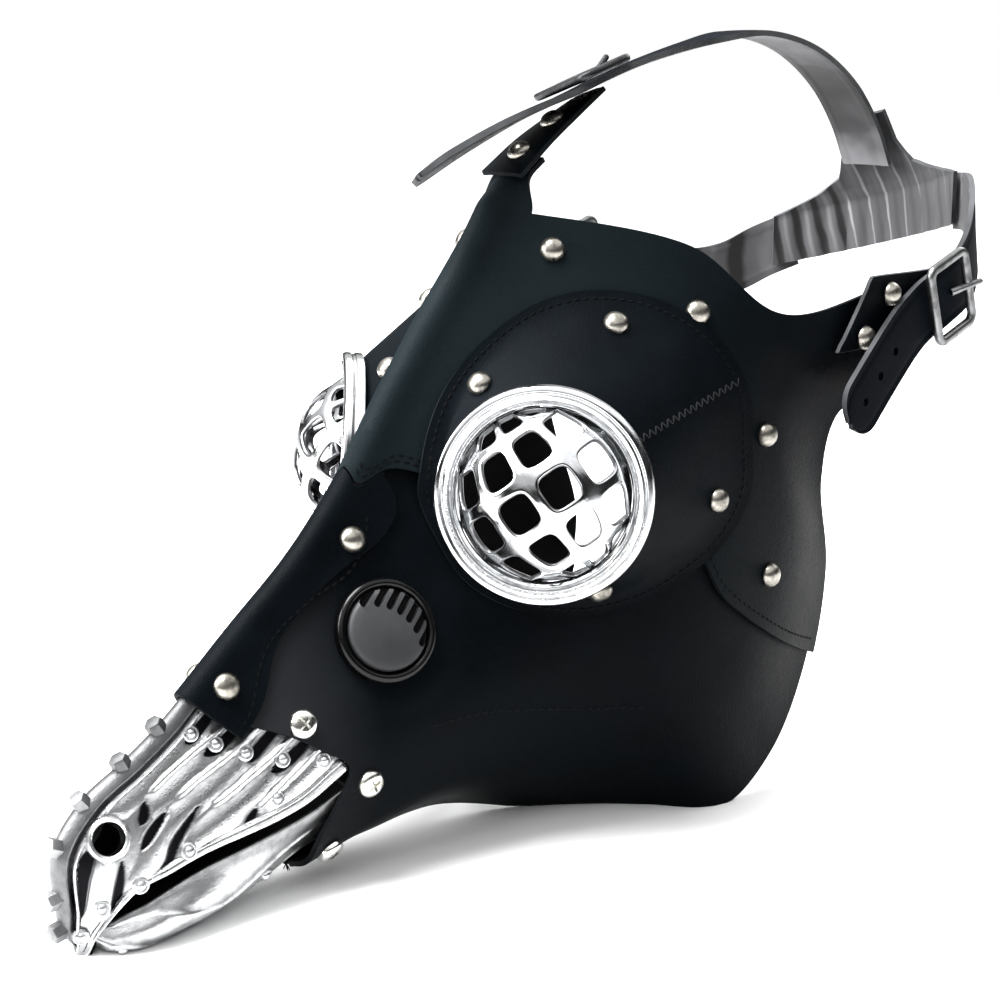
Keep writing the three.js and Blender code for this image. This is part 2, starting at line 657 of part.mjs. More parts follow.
// Lines of the upper beak across its ridge band, its side and its mouth band: [t, height]
const BEAK_LINES = [
  [0, BAND.height],
  [BAND.ridge, BAND.height - 0.1],
  [BAND.ridge + 0.012, 0],
  [0.19, 0],
  [0.31, 0],
  [BAND.mouth - 0.012, 0],
  [BAND.mouth, BAND.height - 0.2],
  [MIDDLE_AT, BAND.height - 0.2],
];
const BEAK_RIBS = [0, 0.5, 1.3, 2.3, 3.4, 4.6, 5.85, 6, BEAK_END];
// The bands fade out at the tip and stop short of the leather: first and last rib on the ridge and at the mouth
const BAND_REACH = [[0, 5.9], [0, 6.5]];

function upperBeak() {
  const columns = BEAK_LINES.length - 1;
  const at = (u, v, face) => {
    const line = Math.round(2 * u * columns) - columns;
    const [along, raised] = BEAK_LINES[Math.abs(line)];
    const s = BEAK_RIBS[Math.round(v * (BEAK_RIBS.length - 1))];
    const [first, last] = BAND_REACH[along < 0.2 ? 0 : 1];
    const point = onBeak(s, Math.sign(line) * along, s > first && s < last ? raised : 0);
    return face ? point : insideBeak(onBeak(s, Math.sign(line) * along, 0), s);
  };
  let body = solid(wall(at, 2 * columns, BEAK_RIBS.length - 1));
  const both = (part) => part.add(solid(mirrored(geometryOf(part))));
  for (const [rear, rearAlong, front, frontAlong] of PLATES) {
    const along = (v) => ({ s: lerp(rear, front, v), t: lerp(rearAlong, frontAlong, v ** PLATE_BEND) });
    body = body.add(both(raisedPlate(along, 4)));
  }
  for (const rib of BOLT_RIBS) {
    const axis = normalOf(skinPoint, rib, 0);
    body = body.add(bar(onBeak(rib, 0, 0), axis, BOLT.radius, -BEAK_ROOT, BOLT.height, 6));
  }
  const seat = onBeak(NOSTRIL.rib, NOSTRIL.along, 0);
  const axis = normalOf(skinPoint, NOSTRIL.rib, NOSTRIL.along);
  body = body.add(both(bar(seat, axis, NOSTRIL.ring, -BEAK_ROOT, NOSTRIL.height, 12)));
  body = body.subtract(both(bar(seat, axis, NOSTRIL.hole, -NOSTRIL.depth, NOSTRIL.depth, 10)));
  return body.subtract(FLOOR_CUT);
}

function lowerBeak() {
  const at = (u, v, face) => {
    const round = lerp(MIDDLE_AT + MOUTH_GAP, 2 - MIDDLE_AT - MOUTH_GAP, u);
    const t = round <= 1 ? round : round - 2;
    const s = lerp(LOWER_BEAK.front, LOWER_BEAK.end, v);
    const point = onBeak(s, t, -LOWER_BEAK.inset);
    if (Math.abs(t) === 1) {
      point.x = 0;
    }
    return face ? point : insideBeak(point, s);
  };
  return solid(wall(at, 10, 9)).subtract(FLOOR_CUT);
}
addPiece("beak_upper", upperBeak(), CHROME);
addPiece("beak_lower", lowerBeak(), CHROME);

// Rivets and screws. [radius, height over the leather]
const RIVET_PROFILE = [[0, 0], [4.1, 0], [3.7, 1.6], [2.1, 3], [0, 3.3]];
const SCREW_PROFILE = [[0, 0], [4.5, 0], [4.4, 1.4], [2.8, 2.7], [0, 2.7]];
const SEAT_GAP = 0.4;

function studOnSkin(profile, segments, s, t, level) {
  return solid(turned(profile, segments, onSkin(s, t, level + SEAT_GAP), normalOf(skinPoint, s, t)));
}

function rivetOnCollar(degrees, v) {
  const axis = collarNormal(degrees, v);
  return solid(turned(RIVET_PROFILE, 8, alongAxis(collarPoint(degrees, v), axis, SEAT_GAP), axis));
}

// Rivets through the brow panel and the nose strip: name, rib, t
const SKIN_RIVETS = [
  ["rivet_forehead", 16.95, 0.235],
  ["rivet_brow", 16.6, 0.515],
  ["rivet_temple", 14.95, 0.72],
  ["rivet_cheek", 13.25, 0.75],
  ["rivet_nose", 8.6, 0.13],
  ["rivet_rim", 6.42, 0.085],
];
for (const [name, s, t] of SKIN_RIVETS) {
  addPair(name, studOnSkin(RIVET_PROFILE, 8, s, t, BROW_LEVEL + LEATHER), NICKEL);
}
// Rivets on the eye collar: name, angle round the eye, place down the collar
const COLLAR_RIVETS = [
  ["rivet_collar_top", 69.6, 0.72],
  ["rivet_collar_front", 125, 0.59],
  ["rivet_collar_rear", -5, 0.72],
  ["rivet_collar_low", -62, 0.4],
];
for (const [name, degrees, v] of COLLAR_RIVETS) {
  addPair(name, rivetOnCollar(degrees, v), NICKEL);
}
// Screws that hold the beak in the leather: name, rib, t
const SCREWS = [["screw_upper", 6.8, 0.325], ["screw_middle", 7.05, 0.57], ["screw_lower", 6.2, 0.77]];
for (const [name, s, t] of SCREWS) {
  addPair(name, studOnSkin(SCREW_PROFILE, 10, s, t, LEATHER), CHROME);
}

// Harness: tabs, buckles, straps and the yoke behind the head. [x, y, z]
const SIDE_TAB = [[78.1, 265.6, 166.4], [79.2, 280, 166.6], [79.8, 295, 166.5], [79.8, 310, 166.5]];
const TAB_SLANT = 0.72;
const TOP_TAB = [[0, 177, 213.5], [0, 192, 223.5], [0, 206, 231.2], [0, 219, 238]];
const TOP_TAB_TWIST = [[0, 0], [0.5, -8], [1, -18]]; // degrees along the tab
const sideTab = { width: plainWidth(TAB), thickness: LEATHER, outward: sideways, slant: TAB_SLANT };
addPair("buckle_tab", ribbon(SIDE_TAB, sideTab, 5), BLACK_LEATHER);
const topTab = {
  width: plainWidth(TAB_TOP),
  thickness: LEATHER,
  outward: upwards,
  twist: (v) => readTable(TOP_TAB_TWIST, v),
};
addPiece("buckle_tab_top", ribbon(TOP_TAB, topTab, 5), BLACK_LEATHER);

const TOP_STRAP = [
  [0, 140, 214.5],
  [0, 165, 224.5],
  [0, 190, 232.8],
  [0, 207, 237.5],
  [0, 217, 240.5],
  [0, 240, 247],
  [0, 278, 254.5],
  [0, 305, 257.5],
  [0, 335, 252],
  [0, 360, 238.5],
  [0, 376, 222],
  [0, 385, 207],
];
const TOP_TWIST = [[0, -18], [0.3, -18], [0.45, -12], [0.65, 0], [1, 0]]; // degrees along the top strap
const LEFT_STRAP = [
  [85.2, 255, 131.5],
  [85, 272, 147],
  [84.2, 287, 158.5],
  [82.7, 300, 164.5],
  [82.2, 313, 168.8],
  [80, 329, 174],
  [74, 344, 181],
  [66, 357, 188],
  [56, 371, 193],
  [48, 381, 195],
  [39, 388.4, 194.5],
];
const RIGHT_STRAP = [
  [-85.2, 255, 131.5],
  [-85, 272, 147],
  [-84.2, 287, 158.5],
  [-82.7, 300, 164.5],
  [-82.2, 313, 168.8],
  [-80, 329, 168],
  [-73, 348, 162],
  [-65, 361, 160],
  [-56, 372, 163],
  [-48, 381, 169],
  [-39, 388.4, 174],
];
const TOP_OF_HEAD = new THREE.Vector3(0, 300, 100);
const topShape = {
  width: tailWidth(STRAP, 0.05),
  thickness: STRAP_THICKNESS,
  outward: (point) => point.clone().sub(TOP_OF_HEAD),
  twist: (v) => readTable(TOP_TWIST, v),
};
const sideShape = { width: tailWidth(STRAP, 0.07), thickness: STRAP_THICKNESS, outward: fromHead };
addPiece("top_strap", ribbon(TOP_STRAP, topShape, 24), BLACK_LEATHER);
addPiece("side_strap_left", ribbon(LEFT_STRAP, sideShape, 16), BLACK_LEATHER);
addPiece("side_strap_right", ribbon(RIGHT_STRAP, sideShape, 16), BLACK_LEATHER);

// The yoke: [height, half width, y on the mid-plane], curved round the head
const YOKE_ROWS = [
  [226, 11, 378],
  [214, 12, 386],
  [205, 17, 392],
  [200, 27, 395],
  [195, 42, 397],
  [175, 42, 397],
];
const YOKE_CURVE = 0.0091;
const YOKE_TILT = 0.27;

function yoke() {
  const at = (u, v, face) => {
    const [z, half, y] = YOKE_ROWS[Math.round(v * (YOKE_ROWS.length - 1))];
    const x = lerp(-half, half, u);
    const out = new THREE.Vector3(2 * YOKE_CURVE * x, 1, 0).normalize();
    const point = new THREE.Vector3(x, y - YOKE_CURVE * x * x, z + YOKE_TILT * x);
    return point.addScaledVector(out, face * LEATHER);
  };
  return solid(wall(at, 8, YOKE_ROWS.length - 1));
}
addPiece("back_yoke", yoke(), BLACK_LEATHER);

// A buckle frame with its prong, in the plane of `along` and `across`.
function buckle(centre, along, across) {
  const out = along.clone().cross(across).normalize();
  const rectangle = (path, x, y) => path.moveTo(-x, -y).lineTo(x, -y).lineTo(x, y).lineTo(-x, y);
  const [x, y] = [BUCKLE.length / 2, BUCKLE.width / 2];
  const frame = rectangle(new THREE.Shape(), x, y);
  frame.holes.push(rectangle(new THREE.Path(), x - BUCKLE.wire, y - BUCKLE.wire));
  const place = new THREE.Matrix4().makeBasis(along, across, out).setPosition(centre);
  const flat = new THREE.ExtrudeGeometry(frame, { depth: BUCKLE.thick, bevelEnabled: false });
  const prong = new THREE.BoxGeometry(BUCKLE.length, BUCKLE.prong, BUCKLE.thick);
  prong.translate(BUCKLE.overhang, 0, BUCKLE.thick / 2 + BUCKLE.proud);
  const [frameBody, prongBody] = [flat, prong].map((shape) => solid(positionsOnly(shape.applyMatrix4(place))));
  return frameBody.add(prongBody);
}
const SIDE_BUCKLE = { centre: [84.6, 312.8, 168.8], rise: 18 };
const TOP_BUCKLE = { centre: [0, 217.5, 240.6], rise: 16, twist: -18, lift: 1.8 };
const sideRise = THREE.MathUtils.degToRad(SIDE_BUCKLE.rise);
const sideAlong = new THREE.Vector3(0, Math.cos(sideRise), Math.sin(sideRise));
const sideAcross = new THREE.Vector3(0, -Math.sin(sideRise), Math.cos(sideRise));
addPair("buckle", buckle(new THREE.Vector3(...SIDE_BUCKLE.centre), sideAlong, sideAcross), GUNMETAL);
const topRise = THREE.MathUtils.degToRad(TOP_BUCKLE.rise);
const topAlong = new THREE.Vector3(0, Math.cos(topRise), Math.sin(topRise));
const topTwist = THREE.MathUtils.degToRad(TOP_BUCKLE.twist);
const topAcross = SIDEWAYS.clone().negate().applyAxisAngle(topAlong, topTwist);
const topOut = topAlong.clone().cross(topAcross);
const topCentre = alongAxis(new THREE.Vector3(...TOP_BUCKLE.centre), topOut, TOP_BUCKLE.lift);
addPiece("buckle_top", buckle(topCentre, topAlong, topAcross), GUNMETAL);

// Rivets on the tabs: name, foot x, y, z, and on top name, way along the tab
const SIDE_TAB_RIVETS = [["rivet_tab_upper", 80.7, 283, 172], ["rivet_tab_lower", 80, 269.5, 158.5]];
const TOP_TAB_RIVETS = [["rivet_top_upper", 0.6], ["rivet_top_lower", 0.22]];
for (const [name, way] of TOP_TAB_RIVETS) {
  const { point, out } = ribbonFrame(TOP_TAB, topTab, way);
  const foot = alongAxis(point, out, LEATHER / 2 + SEAT_GAP);
  addPiece(name, solid(turned(RIVET_PROFILE, 8, foot, out)), NICKEL);
}
for (const [name, ...foot] of SIDE_TAB_RIVETS) {
  addPair(name, solid(turned(RIVET_PROFILE, 8, new THREE.Vector3(...foot), SIDEWAYS)), NICKEL);
}

export default mask;
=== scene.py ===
"""Looks of a leather plague doctor mask with a cast beak, pierced eyes and a buckled head harness.

Pieces are shaped in millimetres from the beak tip, then placed in metres in the frame of the solids.
"""
import math

import bmesh
import bpy
import numpy as np
from mathutils import Matrix, Vector


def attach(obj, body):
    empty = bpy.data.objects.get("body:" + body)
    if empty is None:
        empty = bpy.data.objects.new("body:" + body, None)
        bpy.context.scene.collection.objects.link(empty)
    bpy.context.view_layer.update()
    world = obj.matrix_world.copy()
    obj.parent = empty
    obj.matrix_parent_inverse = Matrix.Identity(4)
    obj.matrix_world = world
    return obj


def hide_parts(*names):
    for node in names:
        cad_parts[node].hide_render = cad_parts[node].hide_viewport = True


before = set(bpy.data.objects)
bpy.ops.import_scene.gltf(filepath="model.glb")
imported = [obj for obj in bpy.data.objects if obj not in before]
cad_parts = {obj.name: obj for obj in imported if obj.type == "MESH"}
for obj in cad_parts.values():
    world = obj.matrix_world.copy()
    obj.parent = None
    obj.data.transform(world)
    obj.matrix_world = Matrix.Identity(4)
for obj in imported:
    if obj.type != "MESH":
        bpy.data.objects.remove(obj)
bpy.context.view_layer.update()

MM = 0.001
TIP_TO_CENTRE = 196.26
LEATHER = 1.8
LAYER_GAP = 0.6
BROW_LEVEL = LEATHER + LAYER_GAP
UP = np.array((0.0, 0.0, 1.0))
SIDE = np.array((1.0, 0.0, 0.0))

# The skin, a fan of ribs from the beak tip to the forehead.
FOLD_LENGTH, FOLD_SHARE = 9, 0.3  # a fold's length, and its longest share of the way to the middle
KNOT_PLACES = (0, 0.12, 0.5, 0.75, 1)
RIBS = [
    # ridge y, z, fold angle, middle x, y, z, edge x, y, z, belly, and for some the low point x, y, z
    (-1.5, 3, 45, 2.8, 1.4, -2.8, 0, 3, -3.4, 0.3),
    (-3.5, 16, 42, 7, 5, 9, 0, 5, 1.6, 3),
    (-3.5, 32, 40, 12.5, 18, 17, 0, 15, 0.6, 6.5),
    (6.5, 44, 38, 15.8, 34, 24, 0, 31, 0.6, 8.5),
    (20.5, 51.5, 35, 18.5, 50, 28, 0, 48, 1.2, 9),
    (33, 59, 32, 19.8, 62, 30.5, 0, 66, 2.6, 8.5),
    (42.4, 66, 30, 20.8, 72, 33, 0, 80, 4.5, 8),
    (64, 83, 29, 23, 87, 40, 0, 112, 7, 8),
    (86, 100, 27, 29, 117, 50, 0, 146, 7, 9),
    (106.5, 121, 27, 37, 146, 58, 18, 186, -1.5, 7),
    (118.5, 137, 29, 45, 165, 66, 40, 207, -1.5, 5),
    (126.5, 148, 32, 51, 177, 76, 58, 221, -1.5, 4),
    (134.5, 158, 35, 55, 187, 92, 58.2, 250.6, 11.3, 7),
    (142.5, 168, 37, 56, 194, 110, 56.8, 271.1, 38.4, 8.5),
    (150.5, 177, 39, 55, 200, 129, 56.1, 279.8, 72.7, 8.5),
    (158.5, 186, 41, 53, 206, 147, 59.3, 271.2, 107, 7),
    (162, 190, 42, 51, 210, 161, 65.9, 271.1, 132.2, 0, 64, 237, 149),
    (166.5, 195.5, 42, 48.5, 214, 176, 73.5, 286, 143, 0, 65.5, 239, 158),
    (171.5, 202.5, 42, 46, 217, 190, 73.5, 288, 174, 0, 64.5, 239, 168.5),
]
LAST_RIB = len(RIBS) - 1


def unit(v):
    return v / np.linalg.norm(v, axis=-1, keepdims=True)


def dot(a, b):
    return np.sum(a * b, -1, keepdims=True)


def rib_knots(row):
    ridge = np.array((0.0, row[0], row[1]))
    middle = np.array(row[3:6], float)
    edge = np.array(row[6:9], float)
    down = unit((middle - ridge) * (0, 1, 1))
    reach = min(FOLD_LENGTH, FOLD_SHARE * np.linalg.norm(ridge - middle))
    turn = math.radians(row[2])
    fold = ridge + down * reach * math.cos(turn) + SIDE * reach * math.sin(turn)
    chord = unit(edge - middle)
    low = (middle + edge) / 2 + unit(SIDE - chord * chord[0]) * row[9]
    if len(row) > 10:
        low = np.array(row[10:13], float)
    return [ridge, fold, middle, low, edge]


KNOTS = np.array([rib_knots(row) for row in RIBS])


def spline_step(p0, p1, p2, p3, w):
    def gap(a, b):
        return np.maximum(np.sum((b - a) ** 2, -1, keepdims=True) ** 0.25, 1e-4)

    d0, d1, d2 = gap(p0, p1), gap(p1, p2), gap(p2, p3)
    t1 = ((p1 - p0) / d0 - (p2 - p0) / (d0 + d1) + (p2 - p1) / d1) * d1
    t2 = ((p2 - p1) / d1 - (p3 - p1) / (d1 + d2) + (p3 - p2) / d2) * d1
    return p1 + t1 * w + (3 * p2 - 3 * p1 - 2 * t1 - t2) * w**2 + (2 * p1 - 2 * p2 + t1 + t2) * w**3


def along_spline(points, place):
    """Points of a smooth curve; place counts its given points."""
    points = np.asarray(points, float)
    led = np.vstack([2 * points[0] - points[1], points, 2 * points[-1] - points[-2]])
    i = np.clip(np.floor(place).astype(int), 0, len(points) - 2)
    return spline_step(led[i], led[i + 1], led[i + 2], led[i + 3], (place - i)[:, None])


def bare_point(s, t):
    knots = [along_spline(KNOTS[:, k], s) for k in range(KNOTS.shape[1])]
    rows = [knots[1] * (-1, 1, 1), *knots]
    rows = np.stack([2 * rows[0] - rows[1], *rows, 2 * rows[-1] - rows[-2]], 1)
    place = np.interp(np.minimum(np.abs(t), 1), KNOT_PLACES, range(1, 6))
    i = np.clip(np.floor(place).astype(int), 0, 4)
    n = np.arange(len(s))
    point = spline_step(*(rows[n, i + k] for k in range(4)), (place - i)[:, None])
    point[:, 0] *= np.where(t < 0, -1, 1)
    return point


def normal_of(surface, s, t):
    step = 0.01
    along = surface(s, np.minimum(t + step, 1)) - surface(s, np.maximum(t - step, -1))
    up = surface(np.minimum(s + step, LAST_RIB), t) - surface(np.maximum(s - step, 0), t)
    return unit(np.cross(along, up))


def arrays(*values):
    return [np.atleast_1d(np.asarray(v, float)) for v in np.broadcast_arrays(*values)]


VALVE_RIB, VALVE_ALONG, VALVE_FLAT, VALVE_BLEND = 8.18, 0.297, 18, 28
VALVE_SEAT = bare_point(*arrays(VALVE_RIB, VALVE_ALONG))[0]
VALVE_AXIS = normal_of(bare_point, *arrays(VALVE_RIB, VALVE_ALONG))[0]


def ramp(value, low, high):
    x = np.clip((value - low) / (high - low), 0, 1)
    return x * x * (3 - 2 * x)


def skin_point(s, t):
    """The skin, pulled flat round each valve."""
    point = bare_point(s, t)
    side = np.where(t < 0, -1, 1)[:, None] * SIDE + (0, 1, 1)
    reach = point * side - VALVE_SEAT
    height = dot(reach, VALVE_AXIS)
    radius = np.linalg.norm(reach - height * VALVE_AXIS, axis=-1, keepdims=True)
    return point - VALVE_AXIS * side * height * (1 - ramp(radius, VALVE_FLAT, VALVE_BLEND))


def skin_normal(s, t):
    return normal_of(skin_point, *arrays(s, t))


def on_skin(s, t, height):
    s, t, height = arrays(s, t, height)
    return skin_point(s, t) + skin_normal(s, t) * height[:, None]


def read_table(rows, place):
    """A smooth value read off a short table of (place, value) rows."""
    x, y = np.array(rows, float).T
    slope = np.gradient(y, x)
    place = np.clip(place, x[0], x[-1])
    i = np.clip(np.searchsorted(x, place, side="right") - 1, 0, len(x) - 2)
    span = x[i + 1] - x[i]
    w = (place - x[i]) / span
    keep = (1 + 2 * w) * (1 - w) ** 2 * y[i] + w * w * (3 - 2 * w) * y[i + 1]
    return keep + span * (w * (1 - w) ** 2 * slope[i] - w * w * (1 - w) * slope[i + 1])


# Eye axes
EYE_CENTRE = np.array((48.5, 145, 119.2))
EYE_DEPTH = 7
EYE_TURN, EYE_LIFT = math.radians(38), math.radians(6)
EYE_AXIS = np.array(
    (math.sin(EYE_TURN) * math.cos(EYE_LIFT), -math.cos(EYE_TURN) * math.cos(EYE_LIFT), math.sin(EYE_LIFT))
)
EYE_U = np.array((math.cos(EYE_TURN), math.sin(EYE_TURN), 0))
EYE_V = np.cross(EYE_AXIS, EYE_U)
SEARCH_RIBS, SEARCH_PLACES = np.arange(7, 17.6, 0.25), np.arange(-0.1, 0.96, 0.05)
FIRST_RIB, FIRST_PLACE = 6, -0.3


def eye_point(angle, radius, height):
    angle, radius, height = (a[:, None] for a in arrays(angle, radius, height))
    return EYE_CENTRE + EYE_U * radius * np.cos(angle) + EYE_V * radius * np.sin(angle) + EYE_AXIS * height


def drop_to_skin(points):
    """Ribs and places where lines along the eye's axis meet the skin."""
    ss, tt = (a.ravel() for a in np.meshgrid(SEARCH_RIBS, SEARCH_PLACES))
    flat = lambda p: np.stack([dot(p, EYE_U)[..., 0], dot(p, EYE_V)[..., 0]], -1)
    samples, goal = flat(skin_point(ss, tt)), flat(points)
    best = np.argmin(np.linalg.norm(samples[None] - goal[:, None], axis=-1), 1)
    s, t = ss[best], tt[best]
    step = 0.01
    for _ in range(10):
        here = flat(skin_point(s, t))
        off = here - goal
        ds = (flat(skin_point(s + step, t)) - here) / step
        dt = (flat(skin_point(s, t + step)) - here) / step
        area = ds[:, 0] * dt[:, 1] - dt[:, 0] * ds[:, 1]
        s = np.clip(s - (off[:, 0] * dt[:, 1] - off[:, 1] * dt[:, 0]) / area, FIRST_RIB, LAST_RIB - step)
        t = np.clip(t - (ds[:, 0] * off[:, 1] - ds[:, 1] * off[:, 0]) / area, FIRST_PLACE, 1 - step)
    return s, t


# Mesh helpers
def mapped_grid(columns, rows, place, ring=False):
    """A grid with its corners moved to place(u, v); a ring closes along u."""
    bm = bmesh.new()
    bmesh.ops.create_grid(bm, x_segments=columns, y_segments=rows, size=0.5)
    flat = np.array([v.co for v in bm.verts])
    u, v = flat[:, 0] + 0.5, flat[:, 1] + 0.5
    for vert, point in zip(bm.verts, place(u, v)):
        vert.co = point
    if ring:
        bmesh.ops.remove_doubles(bm, verts=bm.verts, dist=1e-4)
    return bm


def lie_along(axis, foot):
    """Turns +Z to an axis and moves the origin to a foot."""
    turn = Vector((0, 0, 1)).rotation_difference(Vector(axis)).to_matrix().to_4x4()
    return Matrix.Translation(Vector(foot)) @ turn


def turned(profile, steps, axis, foot, paint=None):
    """A profile of (radius, height) spun round an axis. paint(radius, height) picks a face's material."""
    bm = bmesh.new()
    verts = [bm.verts.new((r, 0, h)) for r, h in profile]
    edges = [bm.edges.new(pair) for pair in zip(verts, verts[1:])]
    bmesh.ops.spin(
        bm, geom=verts + edges, cent=(0, 0, 0), axis=(0, 0, 1), angle=2 * math.pi, steps=steps, use_merge=True
    )
    bmesh.ops.remove_doubles(bm, verts=bm.verts, dist=1e-4)
    bmesh.ops.recalc_face_normals(bm, faces=bm.faces)
    if paint:
        for face in bm.faces:
            middle = face.calc_center_median()
            face.material_index = paint(math.hypot(middle.x, middle.y), middle.z)
    bmesh.ops.transform(bm, matrix=lie_along(axis, foot), verts=bm.verts)
    return bm


def joined(*parts):
    whole = bmesh.new()
    for part in parts:
        mesh = bpy.data.meshes.new("part")
        part.to_mesh(mesh)
        part.free()
        whole.from_mesh(mesh)
        bpy.data.meshes.remove(mesh)
    return whole


def other_side(bm):
    bmesh.ops.scale(bm, vec=(-1, 1, 1), verts=bm.verts)
    bmesh.ops.reverse_faces(bm, faces=bm.faces)
    return bm


SIDES = (("left", lambda bm: bm), ("right", other_side))


def facing(bm, outward):
    """Turns every face round where they look away from outward(points)."""
    bm.normal_update()
    centres = np.array([face.calc_center_median() for face in bm.faces])
    normals = np.array([face.normal for face in bm.faces])
    if (normals * outward(centres)).sum() < 0:
        bmesh.ops.reverse_faces(bm, faces=bm.faces)
    return bm


def in_metres(bm):
    """Millimetres from the beak tip become metres in the frame of the solids."""
    bmesh.ops.translate(bm, vec=(0, -TIP_TO_CENTRE, 0), verts=bm.verts)
    bmesh.ops.scale(bm, vec=(MM, MM, MM), verts=bm.verts)


def in_scene(name, data):
    made = bpy.data.objects.new(name, data)
    bpy.context.scene.collection.objects.link(made)
    return made


def as_object(name, bm):
    mesh = bpy.data.meshes.new(name)
    bm.to_mesh(mesh)
    bm.free()
    return in_scene(name, mesh)


def finished(name, bm, materials, slot, *nodes):
    """A shape in millimetres becomes a piece of the mask."""
    in_metres(bm)
    piece = as_object(name, bm)
    for material in materials:
        piece.data.materials.append(material)
    piece.data.shade_smooth()
    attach(piece, "root")
    if nodes:
        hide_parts(*nodes)
    return piece


def made_real(piece):
    """The modifiers so far become the mesh itself."""
    graph = bpy.context.evaluated_depsgraph_get()
    mesh = bpy.data.meshes.new_from_object(piece.evaluated_get(graph))
    piece.modifiers.clear()
    old, piece.data = piece.data, mesh
    bpy.data.meshes.remove(old)


def rounded(piece, width, angle=40):
    edge = piece.modifiers.new("rounded_edge", "BEVEL")
    edge.width = width * MM
    edge.segments = 2
    edge.limit_method = "ANGLE"
    edge.angle_limit = math.radians(angle)
    edge.harden_normals = True
    return piece


def walled(piece, thickness, offset=-1):
    """A wall with a cut edge and a rough inner face."""
    wall = piece.modifiers.new("wall", "SOLIDIFY")
    wall.thickness = thickness * MM
    wall.offset = offset
    wall.use_even_offset = False
    if len(piece.data.materials) > 1:
        wall.material_offset_rim = 1
    if len(piece.data.materials) > 2:
        wall.material_offset = 2
    return piece


def smoothed(piece, levels):
    surface = piece.modifiers.new("smooth", "SUBSURF")
    surface.levels = surface.render_levels = levels
    return piece


def cut(piece, cutter):
    """Cuts a closed shape in millimetres out of a piece."""
    in_metres(cutter)
    bmesh.ops.recalc_face_normals(cutter, faces=cutter.faces)
    tool = as_object("cutter", cutter)
    cutting = piece.modifiers.new("cut", "BOOLEAN")
    cutting.operation = "DIFFERENCE"
    cutting.solver = "EXACT"
    cutting.object = tool
    made_real(piece)
    mesh = tool.data
    bpy.data.objects.remove(tool)
    bpy.data.meshes.remove(mesh)


def punched(bm, reach, edge):
    """Takes out the faces whose middle reach() puts nearer than the edge."""
    inside = [f for f in bm.faces if reach(np.array([f.calc_center_median()]))[0] < edge]
    bmesh.ops.delete(bm, geom=inside, context="FACES")
    return bm


# Materials
def new_material(name):
    material = bpy.data.materials.new(name)
    material.use_nodes = True
    return material, material.node_tree, material.node_tree.nodes["Principled BSDF"]


def group_tree(name, inputs, outputs):
    tree = bpy.data.node_groups.new(name, "ShaderNodeTree")
    for socket, value in inputs:
        made = tree.interface.new_socket(socket, in_out="INPUT", socket_type="NodeSocketFloat")
        made.default_value = value
    for socket in outputs:
        tree.interface.new_socket(socket, in_out="OUTPUT", socket_type="NodeSocketFloat")
    return tree, tree.nodes.new("NodeGroupInput"), tree.nodes.new("NodeGroupOutput")


def feed(tree, socket, value):
    """A number is set on a socket, and another node's output is linked to it."""
    if isinstance(value, (int, float)):
        socket.default_value = value
    else:
        tree.links.new(value, socket)


def maths(tree, kind, a, b):
    node = tree.nodes.new("ShaderNodeMath")
    node.operation = kind
    for socket, value in zip(node.inputs, (a, b)):
        feed(tree, socket, value)
    return node.outputs[0]


def noise(tree, place, scale, detail, roughness=0.5):
    node = tree.nodes.new("ShaderNodeTexNoise")
    tree.links.new(place, node.inputs["Vector"])
    feed(tree, node.inputs["Scale"], scale)
    node.inputs["Detail"].default_value = detail
    node.inputs["Roughness"].default_value = roughness
    return node


def object_place(tree):
    return tree.nodes.new("ShaderNodeTexCoord").outputs["Object"]


def along_way(tree, place, way):
    """How far a place lies along a direction."""
    node = tree.nodes.new("ShaderNodeVectorMath")
    node.operation = "DOT_PRODUCT"
    tree.links.new(place, node.inputs[0])
    node.inputs[1].default_value = way
    return node.outputs["Value"]


def spread(tree, value, span, to_span):
    """A value carried from one range to another."""
    node = tree.nodes.new("ShaderNodeMapRange")
    tree.links.new(value, node.inputs["Value"])
    for name, number in zip(("From Min", "From Max", "To Min", "To Max"), (*span, *to_span)):
        node.inputs[name].default_value = number
    return node.outputs["Result"]


def tinted(tree, value, stops):
    """The colour that a value has on a row of (position, colour) stops."""
    node = tree.nodes.new("ShaderNodeValToRGB")
    tree.links.new(value, node.inputs["Fac"])
    elements = node.color_ramp.elements
    while len(elements) < len(stops):
        elements.new(0.5)
    for element, (position, colour) in zip(elements, stops):
        element.position = position
        element.color = (*colour, 1)
    return node.outputs["Color"]


def mixed(tree, share, first, plain):
    """A varying colour that turns to a plain one by a share."""
    blend = tree.nodes.new("ShaderNodeMix")
    blend.data_type = "RGBA"
    tree.links.new(share, blend.inputs["Factor"])
    tree.links.new(first, blend.inputs["A"])
    blend.inputs["B"].default_value = (*plain, 1)
    return blend.outputs["Result"]


def dressed(tree, shader, colour, gloss, height, strength, depth):
    """Colour, roughness and fine relief of a surface, with the relief's depth in millimetres."""
    tree.links.new(colour, shader.inputs["Base Color"])
    tree.links.new(gloss, shader.inputs["Roughness"])
    bump = tree.nodes.new("ShaderNodeBump")
    bump.inputs["Strength"].default_value = strength
    bump.inputs["Distance"].default_value = depth * MM
    tree.links.new(height, bump.inputs["Height"])
    tree.links.new(bump.outputs["Normal"], shader.inputs["Normal"])


# Leather grain: cells in a metre, the warp's reach in millimetres
WARP_CELLS, WARP_REACH, CREASE_CELLS = 240, 2, 150
PORE_SLOPE, PORE_TOP = 3.0, 0.6
TONE_SPAN, GLOSS_SPAN = (0.35, 0.68), (0.3, 0.7)
# the most of the painted sheen on the leather's front
PAINTED_SHEEN_MOST = 0.85
LEATHER_RELIEF, METAL_RELIEF, LINING_RELIEF, PLASTIC_RELIEF = 0.3, 0.4, 0.5, 0.2


